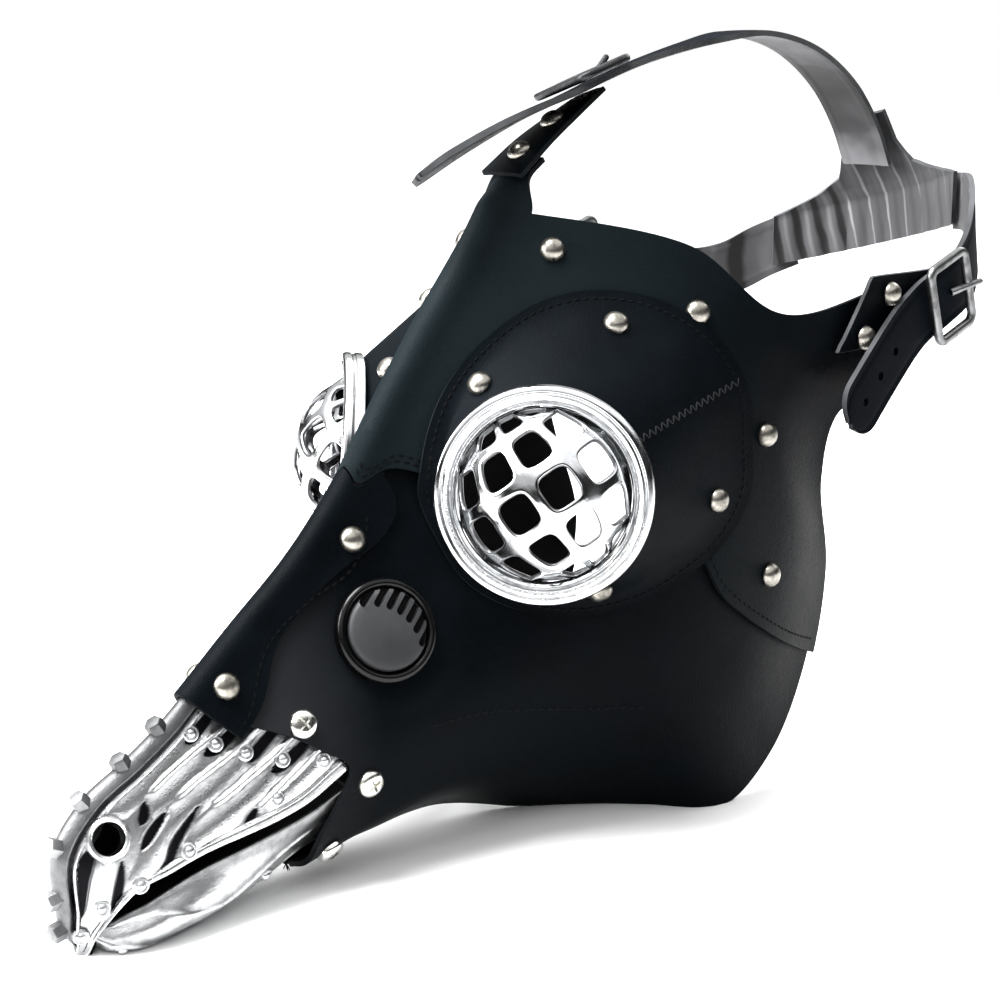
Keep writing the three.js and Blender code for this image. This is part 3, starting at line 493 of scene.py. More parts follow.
def grain_group():
    """Fine leather pores and creases, and slow patches of tone. Sizes are in cells per metre."""
    tree, start, end = group_tree("leather_grain", [("Pores", 900.0), ("Patches", 22.0)], ["Height", "Tone"])
    place = object_place(tree)
    shift = tree.nodes.new("ShaderNodeVectorMath")
    shift.operation = "MULTIPLY_ADD"
    tree.links.new(noise(tree, place, WARP_CELLS, 3).outputs["Color"], shift.inputs[0])
    shift.inputs[1].default_value = (WARP_REACH * MM,) * 3
    tree.links.new(place, shift.inputs[2])
    warped = shift.outputs[0]
    pores = tree.nodes.new("ShaderNodeTexVoronoi")
    pores.feature = "DISTANCE_TO_EDGE"
    tree.links.new(warped, pores.inputs["Vector"])
    tree.links.new(start.outputs["Pores"], pores.inputs["Scale"])
    pore = maths(tree, "MINIMUM", maths(tree, "MULTIPLY", pores.outputs["Distance"], PORE_SLOPE), PORE_TOP)
    creases = noise(tree, warped, CREASE_CELLS, 4, 0.6)
    tree.links.new(maths(tree, "ADD", pore, creases.outputs["Fac"]), end.inputs["Height"])
    patches = noise(tree, place, start.outputs["Patches"], 3, 0.6)
    tree.links.new(patches.outputs["Fac"], end.inputs["Tone"])
    return tree


def tarnish_group():
    """Slow blotches and fine specks of a cast and polished metal."""
    inputs = [("Blotches", 60.0), ("Specks", 900.0)]
    tree, start, end = group_tree("cast_tarnish", inputs, ["Blotch", "Speck"])
    place = object_place(tree)
    for source, output, detail in (("Blotches", "Blotch", 5), ("Specks", "Speck", 2)):
        spots = noise(tree, place, start.outputs[source], detail, 0.62)
        tree.links.new(spots.outputs["Fac"], end.inputs[output])
    return tree


GRAIN = grain_group()
TARNISH = tarnish_group()


def place_group(tree, group, **values):
    node = tree.nodes.new("ShaderNodeGroup")
    node.node_tree = group
    for name, value in values.items():
        node.inputs[name].default_value = value
    return node.outputs


def leather_material(name, dark, light, rough, pores, depth, shine=0.16, painted_sheen=None):
    """Leather with pores and patches. Between two y it turns to a paler colour towards the beak, a painted
    sheen of the light on its front.
    """
    material, tree, shader = new_material(name)
    grain = place_group(tree, GRAIN, Pores=pores)
    colour = tinted(tree, grain["Tone"], list(zip(TONE_SPAN, (dark, light))))
    # painted sheen: paler towards the beak, where the light falls on the leather's front
    if painted_sheen:
        full, none, sheen_colour = painted_sheen
        place = tree.nodes.new("ShaderNodeSeparateXYZ")
        tree.links.new(object_place(tree), place.inputs[0])
        sheen_share = spread(tree, place.outputs["Y"], (full, none), (PAINTED_SHEEN_MOST, 0.0))
        colour = mixed(tree, sheen_share, colour, sheen_colour)
    gloss = spread(tree, grain["Tone"], GLOSS_SPAN, (rough - 0.05, rough + 0.08))
    dressed(tree, shader, colour, gloss, grain["Height"], depth, LEATHER_RELIEF)
    shader.inputs["Specular IOR Level"].default_value = shine
    return material


def metal_material(name, dark, bright, rough, blotches, specks=900.0, bump_depth=0.05, relief=None):
    """A metal whose recesses, marked by an attribute, stay dark."""
    material, tree, shader = new_material(name)
    tarnish = place_group(tree, TARNISH, Blotches=blotches, Specks=specks)
    level = spread(tree, tarnish["Blotch"], (0.25, 0.55), (0.0, 1.0))
    if relief:
        raised = tree.nodes.new("ShaderNodeAttribute")
        raised.attribute_name = relief
        level = maths(tree, "MULTIPLY", spread(tree, level, (0.0, 1.0), (0.5, 1.0)), raised.outputs["Fac"])
    colour = tinted(tree, level, [(0.0, dark), (1.0, bright)])
    gloss = spread(tree, level, (0.0, 1.0), (rough + 0.22, rough))
    dressed(tree, shader, colour, gloss, tarnish["Speck"], bump_depth, METAL_RELIEF)
    shader.inputs["Metallic"].default_value = 1.0
    return material


HIDE_DARK, HIDE_LIGHT = (0.0009, 0.0016, 0.0024), (0.0024, 0.004, 0.0055)
BLACK_LEATHER = leather_material("black_leather", HIDE_DARK, HIDE_LIGHT, 0.46, 1000, 0.3, shine=0.025)
# The cheek's front, near the valve, gets a pale grey painted sheen towards the beak.
CHEEK_LEATHER = leather_material(
    "cheek_hide", HIDE_DARK, HIDE_LIGHT, 0.46, 1000, 0.3, 0.025, (-0.134, -0.098, (0.026, 0.027, 0.03))
)
# The brow's front gets a bluish painted light towards the beak.
BROW_LEATHER = leather_material(
    "brow_hide", HIDE_DARK, HIDE_LIGHT, 0.44, 1000, 0.3, 0.03, (-0.02, 0.045, (0.0066, 0.0105, 0.0125))
)
STRAP_LEATHER = leather_material(
    "strap_leather", (0.001, 0.0017, 0.003), (0.0025, 0.004, 0.0065), 0.6, 1100, 0.25, shine=0.02
)
PANEL_EDGE = leather_material(
    "panel_cut_edge", (0.003, 0.004, 0.005), (0.012, 0.014, 0.016), 0.7, 1600, 0.35, shine=0.04
)
CUT_EDGE = leather_material("strap_cut_edge", (0.015, 0.016, 0.018), (0.09, 0.094, 0.1), 0.6, 1600, 0.35)
FLESH_SIDE = leather_material(
    "leather_flesh_side", (0.003, 0.003, 0.0034), (0.009, 0.009, 0.0098), 0.9, 1500, 0.4, shine=0.04
)
THREAD = leather_material(
    "black_thread", (0.0006, 0.0007, 0.0009), (0.002, 0.0022, 0.0026), 0.6, 3000, 0.4, shine=0.05
)
PALE_THREAD = leather_material("pale_thread", (0.006, 0.006, 0.007), (0.032, 0.032, 0.035), 0.6, 3000, 0.4)
DULL_THREAD = leather_material(
    "dull_thread", (0.002, 0.002, 0.0024), (0.008, 0.008, 0.009), 0.6, 3000, 0.4, shine=0.05
)
BEAK_CHROME = metal_material(
    "beak_chrome", (0.006, 0.006, 0.007), (0.64, 0.65, 0.66), 0.26, 230, 1400.0, 0.3, relief="relief"
)
EYE_CHROME = metal_material("eye_chrome", (0.36, 0.37, 0.385), (0.62, 0.63, 0.64), 0.1, 90, bump_depth=0.04)
EYE_PITTED = metal_material("eye_chrome_pitted", (0.3, 0.31, 0.32), (0.86, 0.87, 0.88), 0.2, 420, 1500.0, 0.5)
EYE_GROOVE = metal_material(
    "eye_chrome_groove", (0.004, 0.004, 0.005), (0.5, 0.51, 0.52), 0.25, 130, 700.0, 0.3
)
# Darker chrome for the cut walls of the lattice's holes: painted shade inside the holes.
EYE_CUT = metal_material("eye_lattice_edge", (0.02, 0.02, 0.022), (0.2, 0.2, 0.21), 0.3, 150)
# Near-black metal for the castings' inner faces and the nostril's bore: painted shade inside the beak.
BEAK_HOLLOW = metal_material("beak_hollow", (0.001, 0.001, 0.001), (0.004, 0.004, 0.004), 0.6, 90)
SCREW_STEEL = metal_material("screw_steel", (0.42, 0.4, 0.3), (0.85, 0.85, 0.83), 0.16, 260)
NICKEL = metal_material("antique_nickel", (0.05, 0.047, 0.04), (0.29, 0.275, 0.245), 0.27, 260)
GUNMETAL = metal_material("gunmetal", (0.045, 0.045, 0.046), (0.185, 0.187, 0.19), 0.3, 180)
DARK_GUNMETAL = metal_material("dark_gunmetal", (0.005, 0.005, 0.006), (0.04, 0.041, 0.043), 0.34, 180)


CREASE_WANDER, CREASE_PATCHES = 5.0, 0.6


def lining_material(name, way, pitch, stops):
    """The soft inner face of the harness, with creases across a direction painted as stripes of painted shade
    and painted highlight.
    """
    material, tree, shader = new_material(name)
    grain = place_group(tree, GRAIN, Pores=1300.0)
    turns = maths(tree, "MULTIPLY", along_way(tree, object_place(tree), way), 2 * math.pi / (pitch * MM))
    wander = maths(tree, "MULTIPLY", grain["Tone"], CREASE_WANDER)
    wave = maths(tree, "SINE", maths(tree, "ADD", turns, wander), 0.0)
    level = maths(tree, "ADD", wave, maths(tree, "MULTIPLY", grain["Tone"], CREASE_PATCHES))
    greys = [(position, (grey, grey, grey * 1.05)) for position, grey in stops]
    colour = tinted(tree, spread(tree, level, (-1.0, 1.0 + CREASE_PATCHES), (0.0, 1.0)), greys)
    gloss = spread(tree, grain["Tone"], GLOSS_SPAN, (0.5, 0.7))
    dressed(tree, shader, colour, gloss, level, 0.4, LINING_RELIEF)
    shader.inputs["Specular IOR Level"].default_value = 0.2
    return material


# Lit and shaded copies of the lining's greys: the lit one ends in pale painted highlights on the creases, the
# shaded one is darker throughout.
LIT_LINING_TONES = [(0.0, 0.04), (0.3, 0.065), (0.86, 0.07), (0.97, 0.34)]
SHADED_LINING_TONES = [(0.22, 0.008), (0.48, 0.06), (0.8, 0.07), (0.97, 0.13)]
# The right strap and the yoke's wing take the shaded copy; the left strap and the yoke's middle take the lit
# copy.
YOKE_INSIDE = lining_material("yoke_inside", (1, 0, 0.2), 8.5, LIT_LINING_TONES)
WING_INSIDE = lining_material("yoke_wing_inside", (1, 0, 0.2), 8.5, SHADED_LINING_TONES)
STRAP_INSIDE = lining_material("strap_inside", (-0.5, 0.86, 0), 8.0, SHADED_LINING_TONES)
LEFT_INSIDE = lining_material("left_strap_inside", (0.5, 0.86, 0), 8.0, LIT_LINING_TONES)
# The crown strap's inside: one slow wave up its height, painted shade near the neck turning to a pale painted
# highlight at the top.
CROWN_INSIDE = lining_material("crown_inside", (0, 0, 1), 70.0, [(0.0, 0.014), (0.4, 0.05), (0.9, 0.3)])


def plastic_material(name, dark, light, rough, bump_depth):
    material, tree, shader = new_material(name)
    tarnish = place_group(tree, TARNISH, Blotches=80.0, Specks=1800.0)
    colour = tinted(tree, tarnish["Blotch"], [(0.3, dark), (0.7, light)])
    gloss = spread(tree, tarnish["Blotch"], GLOSS_SPAN, (rough - 0.04, rough + 0.06))
    dressed(tree, shader, colour, gloss, tarnish["Speck"], bump_depth, PLASTIC_RELIEF)
    shader.inputs["Specular IOR Level"].default_value = 0.2
    return material


VALVE_BLACK = plastic_material("valve_black", (0.001, 0.001, 0.0012), (0.002, 0.002, 0.0023), 0.2, 0.05)
VALVE_GREY = plastic_material("valve_grey", (0.03, 0.031, 0.033), (0.042, 0.043, 0.046), 0.42, 0.25)

# Leather walls
LEATHER_RIM = [
    (0, 6), (0.2, 6.2), (0.4, 6.75), (0.5, 6.95), (0.58, 6.4), (0.66, 6), (0.75, 5.8), (0.83, 5.8), (1, 6)
]  # t, rib
BROW_EDGE = [
    (0, 9.25), (0.04, 9.1), (0.12, 9.65), (0.2, 10.1), (0.3, 10.7), (0.5, 12.5),
    (0.56, 12.75), (0.64, 12.52), (0.72, 12.58), (0.79, 12.7), (1, 13.15),
]  # t, rib
STRIP_WIDTH = [(6, 0.235), (6.4, 0.22), (7.1, 0.13), (7.7, 0.14), (8.3, 0.19), (8.7, 0.18), (9.1, 0.12)]
STRIP_START, STRIP_END, STRIP_GAP = 6, 9.16, 0.03  # ribs
PANEL_TOP = 13.5
BROW_COLUMNS = ((0, 0.1, 0.45, 1), (0, 0.12, 0.5, 1))  # share of the grid, place
PANEL_COLUMNS = ((0, 0.06, 0.45, 1), (0.08, 0.12, 0.5, 1))
BROW_GRID, PANEL_GRID, STRIP_GRID = (128, 56), (96, 84), (36, 64)
EYE_HOLE, HOLE_CATCH = 28, 4
MIDDLE_GAP = 0.15
LEATHER_ROUND, STRAP_ROUND, YOKE_ROUND = 0.5, 0.35, 0.4
FOREHEAD_TAB = [(0, 163.4, 196.7), (0, 167.6, 201.6), (0, 177, 210), (0, 189, 218)]
TAB_START, TAB_ROWS, TAB_BLEND, TAB_FOOT = 0.75, 15, 0.85, 190
TAB_TOP = 18
NECK_HALF, NECK_TUCK = 12.5, 1.6
BROW_LEATHERS = [BROW_LEATHER, PANEL_EDGE, FLESH_SIDE]
CHEEK_LEATHERS = [CHEEK_LEATHER, PANEL_EDGE, FLESH_SIDE]
LEATHERS = [BLACK_LEATHER, PANEL_EDGE, FLESH_SIDE]


def from_eye_axis(points):
    off = points - EYE_CENTRE
    return np.linalg.norm(off - dot(off, EYE_AXIS) * EYE_AXIS, axis=-1)


def from_either_eye(points):
    return from_eye_axis(points * np.where(points[:, :1] < 0, -1, 1) ** np.array((1, 0, 0)))


def draw_to_eye_hole(bm):
    """Border corners of the eye hole move on to its circle."""
    for vert in bm.verts:
        if vert.is_boundary:
            side = -1 if vert.co.x < 0 else 1
            off = np.array(vert.co) * (side, 1, 1) - EYE_CENTRE
            height = off @ EYE_AXIS
            flat = off - height * EYE_AXIS
            radius = np.linalg.norm(flat)
            if radius < EYE_HOLE + HOLE_CATCH:
                point = EYE_CENTRE + height * EYE_AXIS + flat / radius * EYE_HOLE
                vert.co = point * (side, 1, 1)


def brow_shape():
    def place(u, v):
        w = 2 * u - 1
        t = np.sign(w) * np.interp(np.abs(w), *BROW_COLUMNS)
        edge = read_table(BROW_EDGE, np.abs(t))
        return on_skin(edge + (LAST_RIB - edge) * v, t, BROW_LEVEL + LEATHER)

    bm = mapped_grid(*BROW_GRID, place)
    # the forehead tab is drawn out of the top edge
    tab = along_spline(FOREHEAD_TAB, np.linspace(TAB_START, len(FOREHEAD_TAB) - 1, TAB_ROWS))
    border = [e for e in bm.edges if e.is_boundary and all(v.co.z > TAB_FOOT for v in e.verts)]
    root = [e for e in border if all(abs(v.co.x) < NECK_HALF for v in e.verts)]
    offsets = {v: np.array(v.co) - tab[0] for e in root for v in e.verts}
    reach = max(abs(off[0]) for off in offsets.values())
    for row, centre in enumerate(tab[1:], 1):
        along = float(ramp(np.array(row / (len(tab) - 1)), 0, TAB_BLEND))
        grown = bmesh.ops.extrude_edge_only(bm, edges=root)["geom"]
        root = [g for g in grown if isinstance(g, bmesh.types.BMEdge)]
        fresh = {v for e in root for v in e.verts}
        offsets = {v: offsets[min(offsets, key=lambda old: (old.co - v.co).length)] for v in fresh}
        for vert, off in offsets.items():
            flat = np.array((off[0] / reach * (TAB_TOP / 2 - NECK_TUCK), 0, LEATHER / 2))
            vert.co = centre + off * (1 - along) + flat * along
    punched(bm, from_either_eye, EYE_HOLE)
    draw_to_eye_hole(bm)
    bmesh.ops.recalc_face_normals(bm, faces=bm.faces)
    return bm


def side_shape():
    def place(u, v):
        t = np.interp(u, *PANEL_COLUMNS)
        rim = read_table(LEATHER_RIM, t)
        point = on_skin(rim + (PANEL_TOP - rim) * v, t, LEATHER)
        point[:, 0] = np.maximum(point[:, 0], MIDDLE_GAP)
        point[:, 2] = np.maximum(point[:, 2], 0)
        return point

    bm = mapped_grid(*PANEL_GRID, place)
    punched(bm, from_eye_axis, EYE_HOLE)
    draw_to_eye_hole(bm)
    return bm


def strip_shape():
    def place(u, v):
        t = (2 * u - 1) * read_table(STRIP_WIDTH, STRIP_START + (STRIP_END - STRIP_START) * v)
        end = read_table(BROW_EDGE, np.abs(t)) - STRIP_GAP
        return on_skin(STRIP_START + (end - STRIP_START) * v, t, BROW_LEVEL + LEATHER)

    return mapped_grid(*STRIP_GRID, place)


brow = walled(finished("brow_leather", brow_shape(), BROW_LEATHERS, "leather", "brow_panel"), LEATHER)
rounded(brow, LEATHER_ROUND)
strip = walled(finished("nose_strip_leather", strip_shape(), LEATHERS, "leather", "nose_strip"), LEATHER)
rounded(strip, LEATHER_ROUND)
for side, turn in SIDES:
    panel_bm = turn(side_shape())
    panel = finished(f"cheek_leather_{side}", panel_bm, CHEEK_LEATHERS, "leather", f"side_panel_{side}")
    rounded(walled(panel, LEATHER), LEATHER_ROUND)

# Eye collars
COLLAR_BASE = [
    (-180, 41.2), (-155, 38), (-132, 38.6), (-100, 39.5), (-66, 43.6), (-25, 53.7), (-4, 59.8), (12, 61.7),
    (32, 68.2), (58, 67.4), (74, 63.8), (91, 58.8), (112, 51.8), (140, 45.6), (169, 41.5), (180, 41.2),
]  # degrees round the eye, radius
COLLAR_TOP, COLLAR_GAP = 32.6, 0.3
COLLAR_LIFT = (-0.45, 0.15)  # ribs before and past the brow's edge where the collar climbs on to it
FLANGE, COLLAR_GRID = 5.5, (144, 24)
BEND_FROM, BEND_AT = 0.6, 0.82  # shares of the way from the ring to the sewn edge


def collar_base(degrees, inset, height):
    radius = read_table(COLLAR_BASE, degrees) - inset
    s, t = drop_to_skin(eye_point(np.radians(degrees), radius, 0))
    covered = ramp(s - read_table(BROW_EDGE, np.abs(t)), *COLLAR_LIFT)
    return on_skin(s, t, LEATHER + COLLAR_GAP + BROW_LEVEL * covered + height)


COLLAR_ROUND = np.linspace(-180, 180, COLLAR_GRID[0] + 1)


def collar_rows(degrees):
    top = eye_point(np.radians(degrees), COLLAR_TOP, -EYE_DEPTH - COLLAR_GAP)
    bend = collar_base(degrees, FLANGE, LEATHER)
    foot = collar_base(degrees, 0, LEATHER)
    return top, bend, foot


COLLAR_LINES = collar_rows(COLLAR_ROUND)


def collar_point(degrees, v):
    """The collar's outer face, from the ring (0) down its cone and out along its sewn flange (1)."""
    place = (np.asarray(degrees) + 180) / 360 * (len(COLLAR_ROUND) - 1)
    top, bend, foot = (
        np.stack([np.interp(place, np.arange(len(COLLAR_ROUND)), line[:, k]) for k in range(3)], -1)
        for line in COLLAR_LINES
    )
    w = np.asarray(v)[:, None]
    cone = top + (bend - top) * np.minimum(w, BEND_FROM) / BEND_AT
    turn = np.clip((w - BEND_FROM) / (1 - BEND_FROM), 0, 1)
    return (1 - turn) ** 2 * cone + 2 * (1 - turn) * turn * bend + turn**2 * foot


def collar_shape():
    return mapped_grid(*COLLAR_GRID, lambda u, v: collar_point(-180 + 360 * u, 1 - v), ring=True)


for side, turn in SIDES:
    collar_bm = turn(collar_shape())
    collar = finished(f"collar_leather_{side}", collar_bm, LEATHERS, "leather", f"eye_collar_{side}")
    rounded(walled(collar, LEATHER), LEATHER_ROUND)

# Eyes
BEZEL_PROFILE = [
    (34.4, -7), (34.4, -4.6), (33.9, -4.2), (33.9, -3.4), (34.4, -3), (34.4, -1.4), (33.9, -0.5),
    (33.1, -0.1), (32.4, 0), (31.9, -0.5), (31.4, -0.5), (31, 0), (29.8, -0.3), (29.4, -1.3),
    (28.8, -1.3), (28.4, -0.7), (27.6, -1.6), (27.6, -7), (34.4, -7),
]
PITTED_BAND, GROOVE_BAND, BAND_FLOOR = (29.8, 31), (28.8, 29.5), -1.5
EYE_STEPS, RING_ROUND, RING_ANGLE = 96, 0.25, 25


def bezel_paint(radius, height):
    if height > BAND_FLOOR and GROOVE_BAND[0] < radius < GROOVE_BAND[1]:
        return 2
    return 1 if height > BAND_FLOOR and PITTED_BAND[0] < radius < PITTED_BAND[1] else 0


DOME_RADIUS, DOME_RIM, DOME_SUNK, DOME_WALL = 30, 27.1, 3, 1.7
RIM_ANGLE = math.asin(DOME_RIM / DOME_RADIUS)
DOME_CENTRE = EYE_CENTRE - EYE_AXIS * (DOME_SUNK + DOME_RADIUS * math.cos(RIM_ANGLE))
LATTICE_PITCH, LATTICE_BAR, LATTICE_TUCK, LEAST_CELL, LONG_EDGE = 15.8, 6.0, 2.2, 45, 6
LATTICE_TURN = math.radians(35)
LATTICE_U = EYE_U * math.cos(LATTICE_TURN) + EYE_V * math.sin(LATTICE_TURN)
LATTICE_V = EYE_V * math.cos(LATTICE_TURN) - EYE_U * math.sin(LATTICE_TURN)


def dome_point(alpha, beta):
    a, b = alpha[:, None], beta[:, None]
    out = EYE_AXIS * np.cos(a) * np.cos(b) + LATTICE_U * np.sin(a) * np.cos(b) + LATTICE_V * np.sin(b)
    return DOME_CENTRE + DOME_RADIUS * out


def lattice_shape():
    """A round net of square cells laid over the dome, its border tucked into the ring."""
    bm = bmesh.new()
    bmesh.ops.create_circle(bm, cap_ends=True, segments=48, radius=1)
    angle = RIM_ANGLE + LATTICE_TUCK / DOME_RADIUS
    for vert in bm.verts:
        aside, up = math.sin(angle) * vert.co.x, math.sin(angle) * vert.co.y
        vert.co = (math.atan2(aside, math.cos(angle)) * DOME_RADIUS, math.asin(up) * DOME_RADIUS, 0)
    lines = [((k * LATTICE_PITCH, 0, 0), (1, 0, 0)) for k in range(-2, 3)]
    lines += [((0, (k + 0.5) * LATTICE_PITCH, 0), (0, 1, 0)) for k in range(-3, 3)]
    for place, normal in lines:
        geom = bm.verts[:] + bm.edges[:] + bm.faces[:]
        bmesh.ops.bisect_plane(bm, geom=geom, plane_co=place, plane_no=normal)
    cells = [f for f in bm.faces if f.calc_area() > LEAST_CELL]
    bmesh.ops.inset_individual(bm, faces=cells, thickness=LATTICE_BAR / 2, depth=0)
    bmesh.ops.delete(bm, geom=cells, context="FACES")
    long = [e for e in bm.edges if e.calc_length() > LONG_EDGE]
    bmesh.ops.subdivide_edges(bm, edges=long, cuts=1)
    flat = np.array([v.co for v in bm.verts]) / DOME_RADIUS
    for vert, point in zip(bm.verts, dome_point(flat[:, 0], flat[:, 1])):
        vert.co = point
    bmesh.ops.recalc_face_normals(bm, faces=bm.faces)
    return facing(bm, lambda points: np.broadcast_to(EYE_AXIS, points.shape))


for side, turn in SIDES:
    ring_bm = turn(turned(BEZEL_PROFILE, EYE_STEPS, EYE_AXIS, EYE_CENTRE, bezel_paint))
    finishes = [EYE_CHROME, EYE_PITTED, EYE_GROOVE]
    ring = finished(f"eye_ring_{side}", ring_bm, finishes, "chrome", f"eye_bezel_{side}")
    rounded(ring, RING_ROUND, RING_ANGLE)
    finishes = [EYE_CHROME, EYE_CUT]
    net = finished(f"eye_lattice_{side}", turn(lattice_shape()), finishes, "chrome", f"eye_grille_{side}")
    smoothed(walled(net, DOME_WALL), 3)

# Valves
VALVE_GAP, VALVE_STEPS = 0.45, 64
WIRE_ROUND, FINE_ROUND = 0.3, 0.15
VALVE_FOOT = VALVE_SEAT + VALVE_AXIS * (LEATHER + VALVE_GAP)
VALVE_BODY = [
    (0, 0), (16.6, 0), (16.4, 2.2), (15.7, 3.4), (14.9, 3.7), (14.2, 3.6), (13.6, 3.1), (13.3, 1.2), (0, 1.2)
]
VALVE_CAP = [(0, 1.5), (12.8, 1.5), (12.8, 3.4), (12.3, 4.3), (11.4, 4.8), (8, 5.25), (4, 5.5), (0, 5.6)]
SLOT_COUNT, SLOT_PITCH, SLOT_WIDTH, SLOT_TURN = 7, 3.7, 2.6, 50
SLOT_START, SLOT_DROP, SLOT_LENGTH, SLOT_CUT, SLOT_LEVEL, SLOT_ROUND = 5.4, 0.035, 14, 8, 5.2, 0.49
VALVE_ACROSS = unit(np.cross(UP, VALVE_AXIS))
SLOT_ALONG = np.array(Matrix.Rotation(math.radians(SLOT_TURN), 3, Vector(VALVE_AXIS)) @ Vector(VALVE_ACROSS))
SLOT_SIDE = np.cross(VALVE_AXIS, SLOT_ALONG)


def slot_cutters():
    cutters = []
    for i in range(SLOT_COUNT):
        off = (i - (SLOT_COUNT - 1) / 2) * SLOT_PITCH
        start = SLOT_START - SLOT_DROP * off * off
        bm = bmesh.new()
        bmesh.ops.create_cube(bm, size=1)
        bmesh.ops.scale(bm, vec=(SLOT_WIDTH, SLOT_LENGTH, SLOT_CUT), verts=bm.verts)
        upright = [e for e in bm.edges if abs((e.verts[0].co - e.verts[1].co).normalized().z) > 0.9]
        offset = SLOT_WIDTH * SLOT_ROUND
        bmesh.ops.bevel(bm, geom=upright, offset=offset, segments=4, profile=0.5, affect="EDGES", material=-1)
        turn = Matrix((SLOT_SIDE, SLOT_ALONG, VALVE_AXIS)).transposed().to_4x4()
        foot = VALVE_FOOT + VALVE_AXIS * SLOT_LEVEL + SLOT_SIDE * off + SLOT_ALONG * (start + SLOT_LENGTH / 2)
        bmesh.ops.transform(bm, matrix=Matrix.Translation(Vector(foot)) @ turn, verts=bm.verts)
        cutters.append(bm)
    return joined(*cutters)


for side, turn in SIDES:
    body_bm = turn(turned(VALVE_BODY, VALVE_STEPS, VALVE_AXIS, VALVE_FOOT))
    body = finished(f"valve_ring_{side}", body_bm, [VALVE_BLACK], "black_plastic", f"valve_body_{side}")
    rounded(body, WIRE_ROUND)
    cap_bm = turn(turned(VALVE_CAP, VALVE_STEPS, VALVE_AXIS, VALVE_FOOT))
    cap = finished(f"valve_cover_{side}", cap_bm, [VALVE_GREY], "grey_plastic", f"valve_cap_{side}")
    cut(cap, turn(slot_cutters()))
    rounded(cap, FINE_ROUND)

# Cast beak
CLEARANCE = 1.2
BEAK_END = 7.35
PLATE_LINES = [
    [(5.45, 0.1), (4.2, 0.1), (3.3, 0.1)],
    [(5.6, 0.19), (4.5, 0.19), (3.6, 0.19)],
    [(5.85, 0.27), (4.4, 0.275), (3.6, 0.285), (2.9, 0.33), (2.4, 0.375), (2, 0.415)],
    [(6.2, 0.35), (5, 0.37), (4.1, 0.385), (3.5, 0.41), (2.95, 0.435)],
    [(6.7, 0.43), (5.9, 0.43), (5.25, 0.43)],
    [(2.1, 0.2), (1.7, 0.25), (1.3, 0.345)],
]  # rib and place along each plate
RAIL_LINES = [
    [(7, 0.185), (6.05, 0.175), (5, 0.15), (4.2, 0.14), (3.45, 0.15)],
    [(7, 0.26), (6.2, 0.25), (5.3, 0.24), (4.4, 0.23), (3.5, 0.235)],
    [(7, 0.335), (6.4, 0.33), (5.5, 0.325), (4.6, 0.33), (3.8, 0.335)],
    [(7, 0.4), (6.1, 0.4), (5, 0.42), (4.35, 0.44)],
]  # rib and place along each raised line between two plates
HOLLOWS = [
    (1.9, [(5.15, 0.11), (5.6, 0.112), (6.5, 0.115)]),
    (2.1, [(5.15, 0.19), (5.7, 0.205), (6.6, 0.215)]),
    (2.1, [(5.7, 0.295), (6.1, 0.29), (6.8, 0.29)]),
    (2.1, [(5.85, 0.355), (6.3, 0.365), (7, 0.365)]),
    (1.8, [(3.55, 0.165), (3.3, 0.205), (3.05, 0.225)]),
    (1.6, [(3.5, 0.253), (2.95, 0.28), (2.6, 0.297)]),
    (1.6, [(3.9, 0.303), (3.25, 0.35), (2.9, 0.38), (2.5, 0.435), (2.15, 0.437)]),
    (1.5, [(4.65, 0.425), (4.3, 0.45), (4.05, 0.47)]),
    (2.8, [(2.4, 0.117), (1.95, 0.112), (1.45, 0.125), (0.9, 0.205)]),
    (1.5, [(2.3, 0.262), (1.8, 0.34), (1.35, 0.43)]),
]  # half width, then rib and place along each dark hollow
MOUTH_EDGE = [
    (0, 0.5), (0.6, 0.52), (1.05, 0.53), (1.45, 0.47), (1.8, 0.435), (2.5, 0.475), (3.6, 0.5), (8, 0.5)
]  # rib, place
LOWER_STEPS = [
    [(1.2, 0.58), (2.1, 0.62), (2.8, 0.7), (3.55, 0.75), (4.3, 0.7), (5, 0.67), (6.5, 0.64)],
    [(1.0, 0.7), (1.75, 0.76), (2.55, 0.83), (3.3, 0.86), (4.2, 0.83), (5.2, 0.78), (6.8, 0.74)],
]  # rib and place along the upper edges of the lower beak's plates
NOSTRIL_RIB, NOSTRIL_ALONG, NOSTRIL_HOLE = 2.6, 0.15, 4.6
BOLTS = [(5, 0.13), (3.95, 0.17), (2.95, 0.3), (2.1, 0.4), (1.2, 0.45), (0.5, 0.25)]  # rib, shade
BEAK_RIVETS = [
    (5.45, 0.1), (5.6, 0.19), (5.85, 0.27), (6.2, 0.35), (6.7, 0.43), (5.25, 0.43), (2.95, 0.435), (2, 0.415),
    (1.3, 0.345), (0.5, 0.25),
]  # rib, place
KEEL_KNOBS = [(4.6, 0.76), (1.6, 0.8)]
RECESS, PLATE_LEVEL, PLATE_SWELL, PLATE_HALF = -1.3, 0.3, 0.9, 4.6
PLATE_SHADE, SWELL_SHADE = 0.74, 0.95
RIDGE_TOP, RIDGE_HALF, RIDGE_BLEND = 3.3, 2.9, 0.6
RIDGE_TIP, RIDGE_TAPER = 0.4, 1.2  # share of the ridge band's width at the tip, ribs to its full width
BEAD_AT, BEAD_HEIGHT, BEAD_HALF, BEAD_BRIGHT = 2.2, 1.7, 0.8, 0.5
GROOVE_AT, GROOVE_WALL, GROOVE_SHADE = 1.0, (0.25, 0.55), 0.85
BAND_SHADES = [(0, 0.24), (2, 0.2), (4, 0.14), (7.4, 0.1)]  # rib, shade
BELLY = [(1, 0.8), (1.5, 1.9), (3, 2.0), (3.7, 0.6), (4.3, -1), (5, -3), (7.3, -4)]  # rib, height
